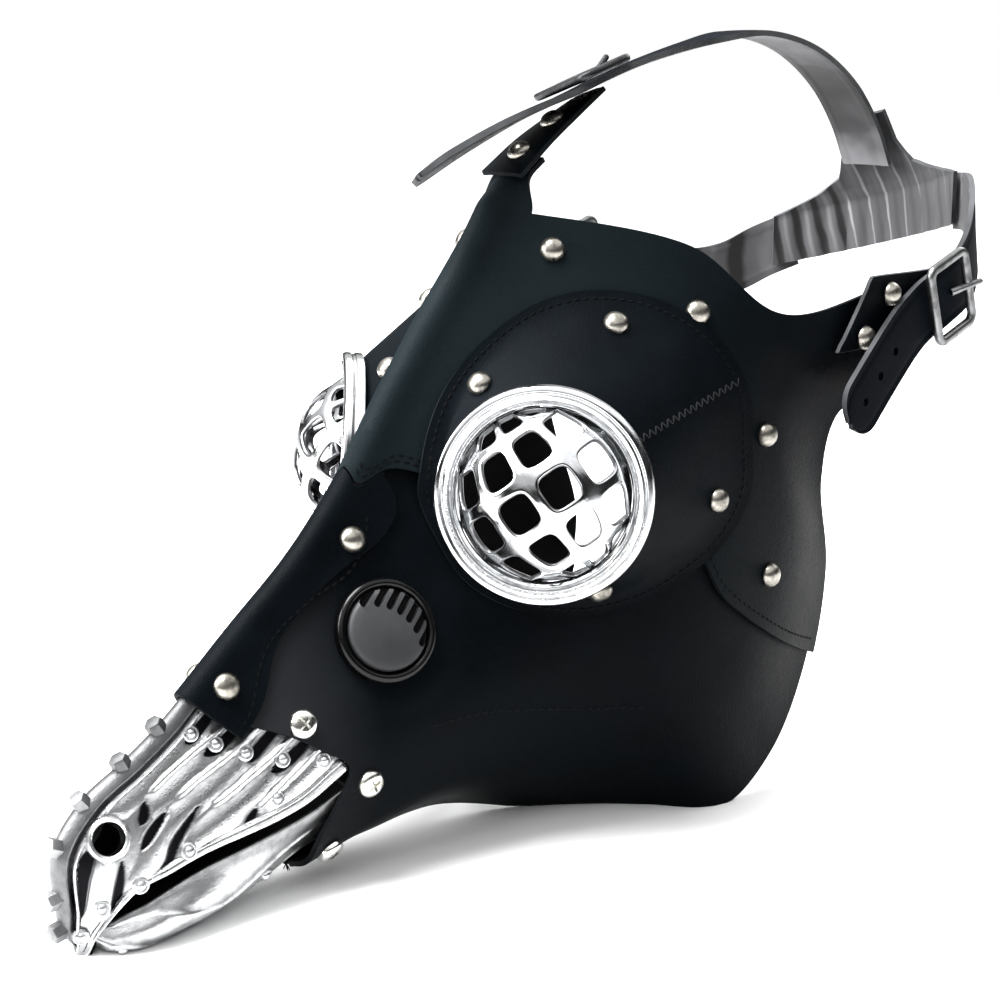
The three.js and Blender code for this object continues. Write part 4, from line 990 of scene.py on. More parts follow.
RAIL_HEIGHT, RAIL_HALF, RAIL_FADE, RAIL_SHADE = 1.7, 1.0, 0.2, (0.7, 1.2)
SHADE_REACH, SHADE_LEAST = 3.2, 0.45
HOLLOW_WALL, HOLLOW_SHADE, HOLLOW_LEAST = (0.8, 1.15), (0.85, 1.1), 0.3
MOUTH_AT, LIP_EDGE, LIP_LINE = 0.5, (0.452, 0.462), 0.475  # places on the skin
LIP_HEIGHT, LIP_CUT, LIP_CUT_WALL, LIP_DARK = 1.2, 1.4, (0.002, 0.006), 0.1
TIP_FADE, END_FADE = (0.0, 0.4), (6.9, 7.1)  # ribs between which the relief comes and goes
CAST_WALL = 1.4
UPPER_GRID, LOWER_GRID = (216, 190), (140, 120)
UPPER_CLOSE, NOSTRIL_CUT = 0.03, 0.6


def line_on_skin(rows, count):
    """Ribs and places along a smooth line through (rib, place) rows."""
    rows = np.array([(*row, 0) for row in rows], float)
    return along_spline(rows, np.linspace(0, len(rows) - 1, count))[:, :2].T


def near_line(points, line, count=60):
    """How far points are from a line on the skin, and how far along it the nearest place is."""
    far = np.linalg.norm(points[:, None] - skin_point(*line_on_skin(line, count))[None], axis=-1)
    nearest = far.argmin(1)
    return far[np.arange(len(points)), nearest], nearest / (count - 1)


def beak_plates(points):
    """Swelling plates with raised lines between them."""
    plate = np.min([near_line(points, line)[0] for line in PLATE_LINES], axis=0)
    swell = 1 - np.clip(plate / PLATE_HALF, 0, 1) ** 2
    height = PLATE_LEVEL + PLATE_SWELL * swell
    bright = PLATE_SHADE + (SWELL_SHADE - PLATE_SHADE) * swell
    for line in RAIL_LINES:
        off, way = near_line(points, line)
        fade = ramp(1 - way, 0, RAIL_FADE)
        height = np.maximum(height, RAIL_HEIGHT * np.maximum(1 - (off / RAIL_HALF) ** 4, 0) ** 0.5 * fade)
        bright = np.maximum(bright, (1 - ramp(off / RAIL_HALF, *RAIL_SHADE)) * fade)
    return height, bright


def beak_hollows(points, height, bright):
    """Dark hollows that run out at both ends, with a shade round them."""
    for half, line in HOLLOWS:
        off, way = near_line(points, line)
        edge = np.maximum(half * np.sqrt(np.maximum(1 - (2 * way - 1) ** 2, 0)), HOLLOW_LEAST)
        height = RECESS + (height - RECESS) * ramp(off / edge, *HOLLOW_WALL)
        shade = SHADE_LEAST + (1 - SHADE_LEAST) * ramp(off - edge, 0, SHADE_REACH)
        bright = np.minimum(bright, shade) * ramp(off / edge, *HOLLOW_SHADE)
    return height, bright


def beak_ridge(points, s, height, bright):
    """The band along the ridge, with a groove and a bead beside it."""
    half = RIDGE_HALF * (RIDGE_TIP + (1 - RIDGE_TIP) * ramp(s, 0, RIDGE_TAPER))
    aside = np.linalg.norm(points - skin_point(s, 0 * s), axis=-1) - half
    bead = BEAD_HEIGHT * np.sqrt(np.maximum(1 - ((aside - BEAD_AT) / BEAD_HALF) ** 2, 0))
    height, bright = np.maximum(height, bead), np.where(bead > BEAD_BRIGHT, 1, bright)
    groove = 1 - ramp(np.abs(aside - GROOVE_AT), *GROOVE_WALL)
    height, bright = height + (RECESS / 2 - height) * groove, bright * (1 - GROOVE_SHADE * groove)
    band = 1 - ramp(aside, 0, RIDGE_BLEND)
    return height + (RIDGE_TOP - height) * band, bright + (read_table(BAND_SHADES, s) - bright) * band


def beak_lip(s, t, height, bright):
    """The lip along the mouth, with a fine line cut in it."""
    place = t - read_table(MOUTH_EDGE, s) + MOUTH_AT
    rise = ramp(place, *LIP_EDGE)
    lip = LIP_HEIGHT * rise - LIP_CUT * (1 - ramp(np.abs(place - LIP_LINE), *LIP_CUT_WALL))
    inside = place > LIP_EDGE[0]
    height = np.where(inside, np.maximum(height * (1 - rise) + lip, RECESS), height)
    return height, np.where(inside, ramp(height, RECESS + LIP_DARK, 0.0), bright)


def beak_relief(s, t):
    """Height of the casting over its bare form in millimetres, and how bright its metal is."""
    t = np.abs(t)
    points = skin_point(s, t)
    height, bright = beak_hollows(points, *beak_plates(points))
    height, bright = beak_ridge(points, s, height, bright)
    height, bright = beak_lip(s, t, height, bright)
    return height * ramp(s, *TIP_FADE) * (1 - ramp(s, *END_FADE)), bright


def beak_middle(s):
    ridge, middle = along_spline(KNOTS[:, 0], s), along_spline(KNOTS[:, 2], s)
    return (ridge + middle) / 2 * (0, 1, 1)


NOSTRIL_SEAT = on_skin(NOSTRIL_RIB, NOSTRIL_ALONG, -CLEARANCE)[0]
NOSTRIL_AXIS = skin_normal(NOSTRIL_RIB, NOSTRIL_ALONG)[0]


def from_nostril(points):
    off = points * np.where(points[:, :1] < 0, (-1, 1, 1), (1, 1, 1)) - NOSTRIL_SEAT
    return np.linalg.norm(off - dot(off, NOSTRIL_AXIS) * NOSTRIL_AXIS, axis=-1)


def with_relief(bm, amount):
    layer = bm.verts.layers.float.new("relief")
    for vert, value in zip(bm.verts, amount):
        vert[layer] = float(value)
    return bm


def upper_beak_shape():
    marks = {}

    def place(u, v):
        s = BEAK_END * v
        t = (2 * u - 1) * read_table(MOUTH_EDGE, s)
        height, marks["bright"] = beak_relief(s, t)
        point = on_skin(s, t, height - CLEARANCE)
        close = np.sqrt(np.clip(v / UPPER_CLOSE, 0, 1))[:, None]
        middle = beak_middle(s)
        return middle + (point - middle) * close

    bm = mapped_grid(*UPPER_GRID, place)
    with_relief(bm, marks["bright"])
    punched(bm, from_nostril, NOSTRIL_HOLE + NOSTRIL_CUT)
    bmesh.ops.remove_doubles(bm, verts=bm.verts, dist=1e-3)
    return bm


LOWER_EDGE, LOWER_FULL = 0.56, 0.72  # places where the lower beak starts and where its belly is full
LOWER_RIBS = (1, 7.2)
LOWER_LIP, LOWER_CLOSE, LOWER_MIDDLE = -0.8, (0.04, 0.05), 0.6
# The lower beak is darker along the mouth: a painted shadow under the upper beak's rim, ending at the place
# given for each rib.
LOWER_LIGHT = [(2.5, 0.57), (4.5, 0.61), (6.5, 0.63)]  # rib, and the place where the dark of the mouth ends
LOWER_SHADES, LOWER_BLEND = (0.42, 0.9), (-0.01, 0.03)
STEP_RISE, STEP_WALL, STEP_REACH, STEP_SHADE, STEP_DARK = 0.7, 0.006, 9, 0.5, 4


def lower_beak_shape():
    marks = {}

    def place(u, v):
        round_way = LOWER_EDGE + 2 * (1 - LOWER_EDGE) * u
        t = np.where(round_way <= 1, round_way, round_way - 2)
        down = np.abs(t)
        s = LOWER_RIBS[0] + (LOWER_RIBS[1] - LOWER_RIBS[0]) * v
        points = skin_point(s, down)
        height = LOWER_LIP + (read_table(BELLY, s) - LOWER_LIP) * ramp(down, LOWER_EDGE, LOWER_FULL)
        # painted shadow under the upper beak's rim, pale past it
        lit = ramp(down - np.interp(s, *zip(*LOWER_LIGHT)), *LOWER_BLEND)
        bright = LOWER_SHADES[0] + (LOWER_SHADES[1] - LOWER_SHADES[0]) * lit
        for line in LOWER_STEPS:
            below = down - np.interp(s, *zip(*line))
            off, _ = near_line(points, line)
            height = height + STEP_RISE * ramp(below, -STEP_WALL, STEP_WALL) * np.exp(-off / STEP_REACH)
            shade = STEP_SHADE + (1 - STEP_SHADE) * ramp(off, 0, STEP_DARK)
            bright = np.where(below < 0, bright * shade, bright)
        marks["bright"] = bright
        point = on_skin(s, t, height)
        point[:, 0] = np.where(np.abs(down - 1) < 1e-9, 0, point[:, 0])
        middle = beak_middle(s) * (1, 1, LOWER_MIDDLE)
        reach, least = LOWER_CLOSE
        return middle + (point - middle) * np.sqrt(np.clip(v / reach, least, 1))[:, None]

    return with_relief(mapped_grid(*LOWER_GRID, place), marks["bright"])


def above_floor(piece):
    """Nothing of a piece reaches below the surface that the mask lies on."""
    made_real(piece)
    for vert in piece.data.vertices:
        vert.co.z = max(vert.co.z, 0)


# the castings' inner faces take the near-black metal, painted shade
BEAK_FINISHES = [BEAK_CHROME, BEAK_CHROME, BEAK_HOLLOW]
upper = finished("beak_upper_casting", upper_beak_shape(), BEAK_FINISHES, "chrome", "beak_upper")
above_floor(walled(upper, CAST_WALL))
lower = finished("beak_lower_casting", lower_beak_shape(), BEAK_FINISHES, "chrome", "beak_lower")
above_floor(walled(lower, CAST_WALL))

SMALL_RIVET = [
    (0, 0), (2.6, 0), (2.6, 0.5), (2.1, 0.75), (1.75, 0.45), (1.6, 0.5), (1.45, 1.1), (0.9, 1.6), (0, 1.8)
]
BOLT = [(0, -1), (3, -1), (3, 2.3), (2.6, 2.9), (1.2, 3.1), (0, 3.1)]
NOSTRIL_RING = [
    (4.5, -3), (6.7, -1.5), (6.7, 1.2), (6.4, 2.0), (5.8, 2.4), (5.2, 2.3), (4.8, 1.9), (4.5, 1), (4.5, -3)
]
RIVET_SHADE = 0.85
STUD_LEVEL, KNOB_LEVEL, NOSTRIL_BORE = 0.8, 0.2, 4.7
STUD_STEPS, NOSTRIL_STEPS, BOLT_SIDES, STUD_ROUND = 20, 48, 6, 0.2


def beak_studs():
    parts = []

    def add(bm, shade):
        parts.append(with_relief(bm, np.full(len(bm.verts), shade)))

    # the nostril ring's bore takes the near-black metal, painted shade
    hole = lambda radius, height: 1 if radius < NOSTRIL_BORE else 0
    seats = [(s, t, STUD_LEVEL - CLEARANCE) for s, t in BEAK_RIVETS]
    seats += [(s, t, read_table(BELLY, s) + KNOB_LEVEL) for s, t in KEEL_KNOBS]
    for _, turn in SIDES:
        for s, t, level in seats:
            stud = turned(SMALL_RIVET, STUD_STEPS, skin_normal(s, t)[0], on_skin(s, t, level)[0])
            add(turn(stud), RIVET_SHADE)
        add(turn(turned(NOSTRIL_RING, NOSTRIL_STEPS, NOSTRIL_AXIS, NOSTRIL_SEAT, hole)), 1.0)
    for s, shade in BOLTS:
        add(turned(BOLT, BOLT_SIDES, skin_normal(s, 0)[0], on_skin(s, 0, RIDGE_TOP - CLEARANCE)[0]), shade)
    return joined(*parts)


above_floor(rounded(finished("beak_studs", beak_studs(), [BEAK_CHROME, BEAK_HOLLOW], "chrome"), STUD_ROUND))

# Rivets and screws
RIVET = [
    (0, 0), (4.1, 0), (4.15, 0.35), (4.05, 0.8), (3.75, 1.5), (3.1, 2.3), (2.2, 2.9), (1.1, 3.22), (0, 3.3)
]
SCREW = [(0, 0), (4.5, 0), (4.5, 1.0), (4.2, 1.7), (3.4, 2.35), (2.2, 2.65), (0, 2.7)]
RIVET_GAP, RIVET_STEPS, SCREW_STEPS, SCREW_ROUND = 0.05, 32, 40, 0.12
SKIN_RIVETS = [
    ("forehead", 16.95, 0.235), ("brow", 16.6, 0.515), ("temple", 14.95, 0.72), ("cheek", 13.25, 0.75),
    ("nose", 8.6, 0.13), ("rim", 6.42, 0.085),
]
COLLAR_RIVETS = [
    ("collar_top", 69.6, 0.72), ("collar_front", 125, 0.59), ("collar_rear", -5, 0.72),
    ("collar_low", -62, 0.4),
]  # degrees round the eye, share of the way from the ring
RIVET_INSET = 0.93
CROSS_TURN, CROSS_BAR, CROSS_LEVEL = 0.35, (4.8, 1.0, 3), 2.9
SCREWS = [("upper", 6.8, 0.325), ("middle", 7.05, 0.57), ("lower", 6.2, 0.77)]


def pair_of_studs(name, node, profile, axis, foot, material, slot, steps=RIVET_STEPS):
    """One stud on each side, each with the turn that mirrors its side."""
    pair = []
    for side, turn in SIDES:
        stud = turn(turned(profile, steps, axis, foot))
        pair.append((finished(f"{name}_{side}", stud, [material], slot, f"{node}_{side}"), turn))
    return pair


def pair_of_rivets(name, axis, foot):
    pair_of_studs(f"{name}_rivet", f"rivet_{name}", RIVET, axis, foot, NICKEL, "nickel")


for name, s, t in SKIN_RIVETS:
    pair_of_rivets(name, skin_normal(s, t)[0], on_skin(s, t, BROW_LEVEL + LEATHER + RIVET_GAP)[0])


def collar_stand(degrees, v):
    step = 0.02
    here = collar_point(np.array([degrees]), np.array([v]))[0]
    round_way = collar_point(np.array([degrees + 2]), np.array([v]))[0] - here
    down = collar_point(np.array([degrees]), np.array([v + step]))[0] - here
    return here, unit(np.cross(down, round_way))


for name, degrees, v in COLLAR_RIVETS:
    foot, axis = collar_stand(degrees, v * RIVET_INSET)
    pair_of_rivets(name, axis, foot)


def cross_cutters(axis, foot):
    bars = []
    for turn in (CROSS_TURN, CROSS_TURN + math.pi / 2):
        bm = bmesh.new()
        bmesh.ops.create_cube(bm, size=1)
        bmesh.ops.scale(bm, vec=CROSS_BAR, verts=bm.verts)
        place = lie_along(axis, foot + axis * CROSS_LEVEL) @ Matrix.Rotation(turn, 4, "Z")
        bmesh.ops.transform(bm, matrix=place, verts=bm.verts)
        bars.append(bm)
    return bars


for name, s, t in SCREWS:
    axis, foot = skin_normal(s, t)[0], on_skin(s, t, LEATHER + RIVET_GAP)[0]
    names = f"{name}_screw", f"screw_{name}"
    for screw, turn in pair_of_studs(*names, SCREW, axis, foot, SCREW_STEEL, "chrome", SCREW_STEPS):
        for bar in cross_cutters(axis, foot):
            cut(screw, turn(bar))
        rounded(screw, SCREW_ROUND)

# Harness
STRAP, STRAP_THICKNESS, STRAP_TAIL, TAB, TAB_SLANT = 21.5, 2, 9.0, 24, 0.72
TAIL_LEAST, STRAP_CROWN = 0.12, 0.25
EDGE_LINE_AT, EDGE_LINE_DEPTH, EDGE_LINE_WALL = 0.78, 0.3, (0.02, 0.1)
STRAP_HOLE = [(0, -5), (1.5, -5), (1.5, 5), (0, 5)]
TAIL_HOLES, CROWN_HOLES = (0.06, 0.13, 0.2), (0.06, 0.11, 0.16)
HEAD_MIDDLE = 330
SIDE_TAB = [(78.1, 265.6, 166.4), (79.2, 280, 166.6), (79.8, 295, 166.5), (79.8, 310, 166.5)]
TOP_TAB = [(0, 177, 213.5), (0, 192, 223.5), (0, 206, 231.2), (0, 219, 238)]
TOP_TAB_TWIST = [(0, 0), (0.5, -8), (1, -18)]
TOP_STRAP = [
    (0, 140, 214.5), (0, 165, 224.5), (0, 190, 232.8), (0, 207, 237.5), (0, 217, 240.5), (0, 240, 247),
    (0, 278, 254.5), (0, 305, 257.5), (0, 335, 252), (0, 360, 238.5), (0, 376, 222), (0, 385, 207),
]
TOP_TWIST = [(0, -32), (0.12, -26), (0.25, -18), (0.3, -18), (0.45, -12), (0.65, 0), (1, 0)]
SIDE_TAIL = [(85.2, 255, 131.5), (85, 272, 147), (84.2, 287, 158.5), (82.7, 300, 164.5), (82.2, 313, 168.8)]
LEFT_STRAP = SIDE_TAIL + [
    (80, 329, 174), (74, 344, 181), (66, 357, 188), (56, 371, 193), (48, 381, 195), (39, 388.4, 194.5),
]
RIGHT_STRAP = [(-x, y, z) for x, y, z in SIDE_TAIL] + [
    (-80, 329, 168), (-73, 348, 162), (-65, 361, 160), (-56, 372, 163), (-48, 381, 169), (-39, 388.4, 174),
]
STRAP_ROWS, CROWN_ROWS, STRAP_COLUMNS, TAB_GRID_ROWS, HOLE_STEPS = 120, 180, 20, 40, 16
PATH_POINTS, PATH_STEP = 1500, 0.5
TOP_OF_HEAD = np.array((0, 300, 100))
TAB_LEATHERS = [BLACK_LEATHER, CUT_EDGE, FLESH_SIDE]


def run_length(points):
    """Length along a row of points, up to each of them."""
    return np.concatenate([[0], np.cumsum(np.linalg.norm(np.diff(points, axis=0), axis=1))])


def even_path(points, way):
    """Points and directions at even lengths along a smooth path, and its whole length."""
    fine = along_spline(points, np.linspace(0, len(points) - 1, PATH_POINTS))
    length = run_length(fine)
    goal = np.asarray(way) * length[-1]
    at = lambda g: np.stack([np.interp(g, length, fine[:, k]) for k in range(3)], -1)
    ahead, behind = np.minimum(goal + PATH_STEP, length[-1]), np.maximum(goal - PATH_STEP, 0)
    return at(goal), unit(at(ahead) - at(behind)), length[-1]


def ribbon_frame(points, way, outward, twist=None):
    point, along, _ = even_path(points, way)
    across = unit(np.cross(outward(point), along))
    out = unit(np.cross(along, across))
    if twist is not None:
        turn = np.radians(twist(way))[:, None]
        across, out = across * np.cos(turn) + out * np.sin(turn), out * np.cos(turn) - across * np.sin(turn)
    return point, along, across, out


def ribbon_shape(points, rows, width, outward, twist=None, slant=0.0, tail=0.0, columns=12):
    """A flat band along a path with a pressed line near each edge, rounded off over its tail."""

    def place(u, v):
        point, along, across, out = ribbon_frame(points, v, outward, twist)
        reach = np.full(len(v), 1.0)
        if tail:
            near = np.clip(v * even_path(points, v)[2] / tail, 0, 1)
            reach = TAIL_LEAST + (1 - TAIL_LEAST) * np.sqrt(1 - (1 - near) ** 2)
        off = (u - 0.5) * width * reach
        aside = np.abs(2 * u - 1)
        pressed = 1 - ramp(np.abs(aside - EDGE_LINE_AT), *EDGE_LINE_WALL)
        crown = STRAP_CROWN * (1 - aside**2) - EDGE_LINE_DEPTH * pressed
        point = point + across * off[:, None] + along * (off * slant * (1 - v))[:, None]
        return point + out * crown[:, None]

    return facing(mapped_grid(columns, rows, place), outward)


upwards = lambda p: np.broadcast_to(UP, p.shape)
sideways = lambda p: np.broadcast_to(SIDE, p.shape)
from_head = lambda p: np.stack([p[:, 0], np.maximum(0, p[:, 1] - HEAD_MIDDLE), 0 * p[:, 0]], -1)
from_top = lambda p: p - TOP_OF_HEAD


def hole_cutters(points, places, outward, twist=None):
    bars = []
    for place in places:
        point, _, _, out = ribbon_frame(points, np.array([place]), outward, twist)
        bars.append(turned(STRAP_HOLE, HOLE_STEPS, out[0], point[0]))
    return joined(*bars)


def strap(name, node, points, rows, outward, holes, inside, twist=None):
    bm = ribbon_shape(points, rows, STRAP, outward, twist, tail=STRAP_TAIL, columns=STRAP_COLUMNS)
    piece = finished(name, bm, [STRAP_LEATHER, CUT_EDGE, inside], "leather", node)
    walled(piece, STRAP_THICKNESS, 0)
    made_real(piece)
    cut(piece, hole_cutters(points, holes, outward, twist))
    return rounded(piece, STRAP_ROUND)


strap("left_strap", "side_strap_left", LEFT_STRAP, STRAP_ROWS, from_head, TAIL_HOLES, LEFT_INSIDE)
strap("right_strap", "side_strap_right", RIGHT_STRAP, STRAP_ROWS, from_head, TAIL_HOLES, STRAP_INSIDE)
crown_twist = lambda v: read_table(TOP_TWIST, v)
strap("crown_strap", "top_strap", TOP_STRAP, CROWN_ROWS, from_top, CROWN_HOLES, CROWN_INSIDE, crown_twist)
for side, turn in SIDES:
    tab_bm = turn(ribbon_shape(SIDE_TAB, TAB_GRID_ROWS, TAB, sideways, slant=TAB_SLANT))
    tab = finished(f"buckle_strip_{side}", tab_bm, TAB_LEATHERS, "leather", f"buckle_tab_{side}")
    rounded(walled(tab, LEATHER, 0), STRAP_ROUND)
top_tab_twist = lambda v: read_table(TOP_TAB_TWIST, v)
tab_bm = ribbon_shape(TOP_TAB, TAB_GRID_ROWS, TAB_TOP, upwards, top_tab_twist)
tab = finished("buckle_strip_top", tab_bm, LEATHERS, "leather", "buckle_tab_top")
rounded(walled(tab, LEATHER, 0), STRAP_ROUND)

# The yoke: height, half width, y on the mid-plane
YOKE_ROWS = [(226, 11, 378), (214, 12, 386), (205, 17, 392), (200, 27, 395), (195, 42, 397), (175, 42, 397)]
YOKE_CURVE, YOKE_TILT, YOKE_GRID = 0.0091, 0.27, (120, 40)
PLEAT_PITCH, PLEAT_DEPTH, WING_START = 8.5, 0.35, -16


def yoke_shape():
    rows = np.array(YOKE_ROWS, float)

    def place(u, v):
        at = v * (len(rows) - 1)
        z, half, y = (np.interp(at, np.arange(len(rows)), rows[:, k]) for k in range(3))
        x = (2 * u - 1) * half
        pleat = PLEAT_DEPTH * np.sin(2 * math.pi * x / PLEAT_PITCH)
        out = unit(np.stack([2 * YOKE_CURVE * x, np.ones_like(x), 0 * x], -1))
        point = np.stack([x, y - YOKE_CURVE * x * x, z + YOKE_TILT * x], -1)
        return point + out * (LEATHER + pleat)[:, None]

    bm = facing(mapped_grid(*YOKE_GRID, place), lambda points: np.broadcast_to((0, 1, 0), points.shape))
    for face in bm.faces:
        # the wing past WING_START takes the shaded copy of the lining, painted shade
        face.material_index = 3 if face.calc_center_median().x < WING_START else 0
    return bm


yoke_leathers = [STRAP_LEATHER, CUT_EDGE, YOKE_INSIDE, STRAP_LEATHER, CUT_EDGE, WING_INSIDE]
yoke = finished("harness_yoke", yoke_shape(), yoke_leathers, "leather", "back_yoke")
rounded(walled(yoke, LEATHER), YOKE_ROUND)

# Buckles
BUCKLE_WIDTH, BUCKLE_LENGTH, BUCKLE_CORNER, WIRE, WIRE_THICK, WIRE_SQUARE = 30, 25, 3.2, 3.4, 2.8, 0.7
PRONG_LENGTH, PRONG_RISE, PRONG_ROOT, PRONG_END = 13, math.radians(24), 1.3, 1.0
PRONG_PAST, PRONG_OVER, BUCKLE_GRID = 2.5, 1.6, (64, 16)
SIDE_BUCKLE, SIDE_BUCKLE_RISE = np.array((84.6, 312.8, 168.8)), 18
TOP_BUCKLE, TOP_BUCKLE_RISE, TOP_BUCKLE_TWIST, TOP_BUCKLE_LIFT = np.array((0, 217.5, 240.6)), 16, -18, 1.8
TAB_RIVETS = [("tab_upper", (80.7, 283, 172)), ("tab_lower", (80, 269.5, 158.5))]
TOP_RIVETS = [("top_upper", 0.6), ("top_lower", 0.22)]  # share of the way along the top tab


def squared(wave):
    return np.abs(wave) ** WIRE_SQUARE * np.sign(wave)


def buckle_shape(centre, along, across):
    out = unit(np.cross(along, across))
    straight_x = (BUCKLE_LENGTH - WIRE) / 2 - BUCKLE_CORNER
    straight_y = (BUCKLE_WIDTH - WIRE) / 2 - BUCKLE_CORNER

    def place(u, v):
        # the straight sides lie between the last step of a corner and the first of the next
        angle = (u + 0.125) * 2 * math.pi
        c, s = np.cos(angle), np.sin(angle)
        section = v * 2 * math.pi
        reach = BUCKLE_CORNER + WIRE / 2 * squared(np.cos(section))
        x = np.sign(c) * straight_x + reach * c
        y = np.sign(s) * straight_y + reach * s
        z = WIRE_THICK / 2 * (1 + squared(np.sin(section)))
        return centre + along * x[:, None] + across * y[:, None] + out * z[:, None]

    bm = mapped_grid(*BUCKLE_GRID, place, ring=True)
    bmesh.ops.recalc_face_normals(bm, faces=bm.faces)
    prong = bmesh.new()
    bmesh.ops.create_cone(
        prong, cap_ends=True, segments=16, radius1=PRONG_ROOT, radius2=PRONG_END, depth=PRONG_LENGTH
    )
    way = along * math.cos(PRONG_RISE) + out * math.sin(PRONG_RISE)
    end = centre + along * (BUCKLE_LENGTH / 2 + PRONG_PAST) + out * (WIRE_THICK + PRONG_OVER)
    bmesh.ops.transform(prong, matrix=lie_along(way, end - way * PRONG_LENGTH / 2), verts=prong.verts)
    return joined(bm, prong)


def raised_axes(rise):
    turn = math.radians(rise)
    along = np.array((0, math.cos(turn), math.sin(turn)))
    return along, np.array((0, -math.sin(turn), math.cos(turn)))


side_along, side_across = raised_axes(SIDE_BUCKLE_RISE)
for side, turn in SIDES:
    frame_bm = turn(buckle_shape(SIDE_BUCKLE, side_along, side_across))
    rounded(finished(f"buckle_frame_{side}", frame_bm, [GUNMETAL], "gunmetal", f"buckle_{side}"), WIRE_ROUND)
top_along, _ = raised_axes(TOP_BUCKLE_RISE)
top_twist = math.radians(TOP_BUCKLE_TWIST)
top_across = -SIDE * math.cos(top_twist) + np.cross(top_along, -SIDE) * math.sin(top_twist)
top_out = np.cross(top_along, top_across)
top_bm = buckle_shape(TOP_BUCKLE + top_out * TOP_BUCKLE_LIFT, top_along, top_across)
rounded(finished("buckle_frame_top", top_bm, [DARK_GUNMETAL], "gunmetal", "buckle_top"), WIRE_ROUND)

for name, foot in TAB_RIVETS:
    pair_of_rivets(name, SIDE, np.array(foot))
for name, way in TOP_RIVETS:
    point, _, _, out = ribbon_frame(TOP_TAB, np.array([way]), upwards, top_tab_twist)
    stud = turned(RIVET, RIVET_STEPS, out[0], point[0] + out[0] * (LEATHER / 2 + RIVET_GAP))
    finished(f"{name}_rivet", stud, [NICKEL], "nickel", f"rivet_{name}")

# Stitches
STITCH_PITCH, STITCH_LENGTH, STITCH_THICK, STITCH_FLAT = 3.0, 2.3, 0.42, 0.8
EYE_CLEAR = 8
ZIGZAG_DEGREES, ZIGZAG_STEP, ZIGZAG_HALF, ZIGZAG_THICK = 31, 1.5, 1.3, 0.3
ZIGZAG_PLACES = np.linspace(0.03, 0.97, 60)
COLLAR_SEAM_AT = 0.9
BROW_SEAMS = [(0.13, (0.02, 0.98), 200), (0.25, (0.02, 0.2), 60)]  # ribs from the edge, places, points
STRIP_SEAM_RIBS, STRIP_SEAM_INSET = (6.15, 9.0), 0.018
FRAY_SEED, FRAY_COUNT, FRAY_RIBS, FRAY_LENGTH, FRAY_THICK = 11, 24, (5.95, 6.7), (0.8, 2.6), 0.2
FRAY_SPREAD = 0.5  # how far the fibres stray from hanging straight down
DART_SEAM = [(7.9, 0.51), (8.5, 0.54), (8.85, 0.57), (9.45, 0.62), (10, 0.66), (10.65, 0.7)]  # rib, place


def thread(bm, start, end, out, thick=STITCH_THICK):
    """One short thread from a start to an end."""
    along = unit(end - start)
    out = unit(out - along * (out @ along))
    turn = Matrix((along, np.cross(out, along), out)).transposed().to_4x4()
    size = Matrix.Diagonal((np.linalg.norm(end - start) / 2, thick, thick * STITCH_FLAT, 1))
    place = Matrix.Translation(Vector((start + end) / 2)) @ turn @ size
    bmesh.ops.create_uvsphere(bm, u_segments=6, v_segments=4, radius=1, matrix=place)


def stitch_run(points, normals):
    """A row of short threads along a line of points."""
    length = run_length(points)
    at = lambda g, line: np.array([np.interp(g, length, line[:, k]) for k in range(3)])
    bm = bmesh.new()
    for i in range(int(length[-1] / STITCH_PITCH)):
        middle = (i + 0.5) * STITCH_PITCH
        if from_eye_axis(at(middle, points)) < EYE_HOLE + EYE_CLEAR:
            continue
        ends = [at(middle + half, points) for half in (-STITCH_LENGTH / 2, STITCH_LENGTH / 2)]
        thread(bm, *ends, at(middle, normals))
    return bm


def seam_on_skin(s, t, level):
    return stitch_run(on_skin(s, t, level), skin_normal(s, t))


def collar_seam(v, count=240):
    degrees = np.linspace(-180, 180, count)
    points = collar_point(degrees, np.full(count, v))
    round_way = np.gradient(points, axis=0)
    down = collar_point(degrees, np.full(count, v + 0.02)) - points
    return stitch_run(points, unit(np.cross(down, round_way)))


def zigzag():
    """The seam that closes the collar's cone."""
    bm = bmesh.new()
    line = collar_point(np.full(len(ZIGZAG_PLACES), ZIGZAG_DEGREES), ZIGZAG_PLACES)
    length = run_length(line)
    steps = np.arange(int(length[-1] / ZIGZAG_STEP)) * ZIGZAG_STEP
    corners, outs = [], []
    for i, v in enumerate(np.interp(steps, length, ZIGZAG_PLACES)):
        point, out = collar_stand(ZIGZAG_DEGREES, v)
        round_way = unit(np.cross(out, unit(line[-1] - line[0])))
        corners.append(point + round_way * ZIGZAG_HALF * (-1) ** i)
        outs.append(out)
    for start, end, out in zip(corners, corners[1:], outs):
        thread(bm, start, end, out, ZIGZAG_THICK)
    return bm


def frayed_rim():
    """Short loose fibres on the lower front rim of the cheek leather."""
    chance = np.random.default_rng(FRAY_SEED)
    bm = bmesh.new()
    for _ in range(FRAY_COUNT):
        start = on_skin(chance.uniform(*FRAY_RIBS), 1, LEATHER / 2)[0]
        way = unit(chance.normal(0, FRAY_SPREAD, 3) - UP)
        end = start + way * chance.uniform(*FRAY_LENGTH)
        start[2], end[2] = max(start[2], FRAY_THICK), max(end[2], FRAY_THICK)
        thread(bm, start, end, SIDE, FRAY_THICK)
    return bm


def stitches():
    runs = [collar_seam(COLLAR_SEAM_AT)]
    for inset, (low, high), count in BROW_SEAMS:
        t = np.linspace(low, high, count)
        runs.append(seam_on_skin(read_table(BROW_EDGE, t) + inset, t, BROW_LEVEL + LEATHER))
    s = np.linspace(*STRIP_SEAM_RIBS, 120)
    runs.append(seam_on_skin(s, read_table(STRIP_WIDTH, s) - STRIP_SEAM_INSET, BROW_LEVEL + LEATHER))
    return joined(frayed_rim(), *runs)


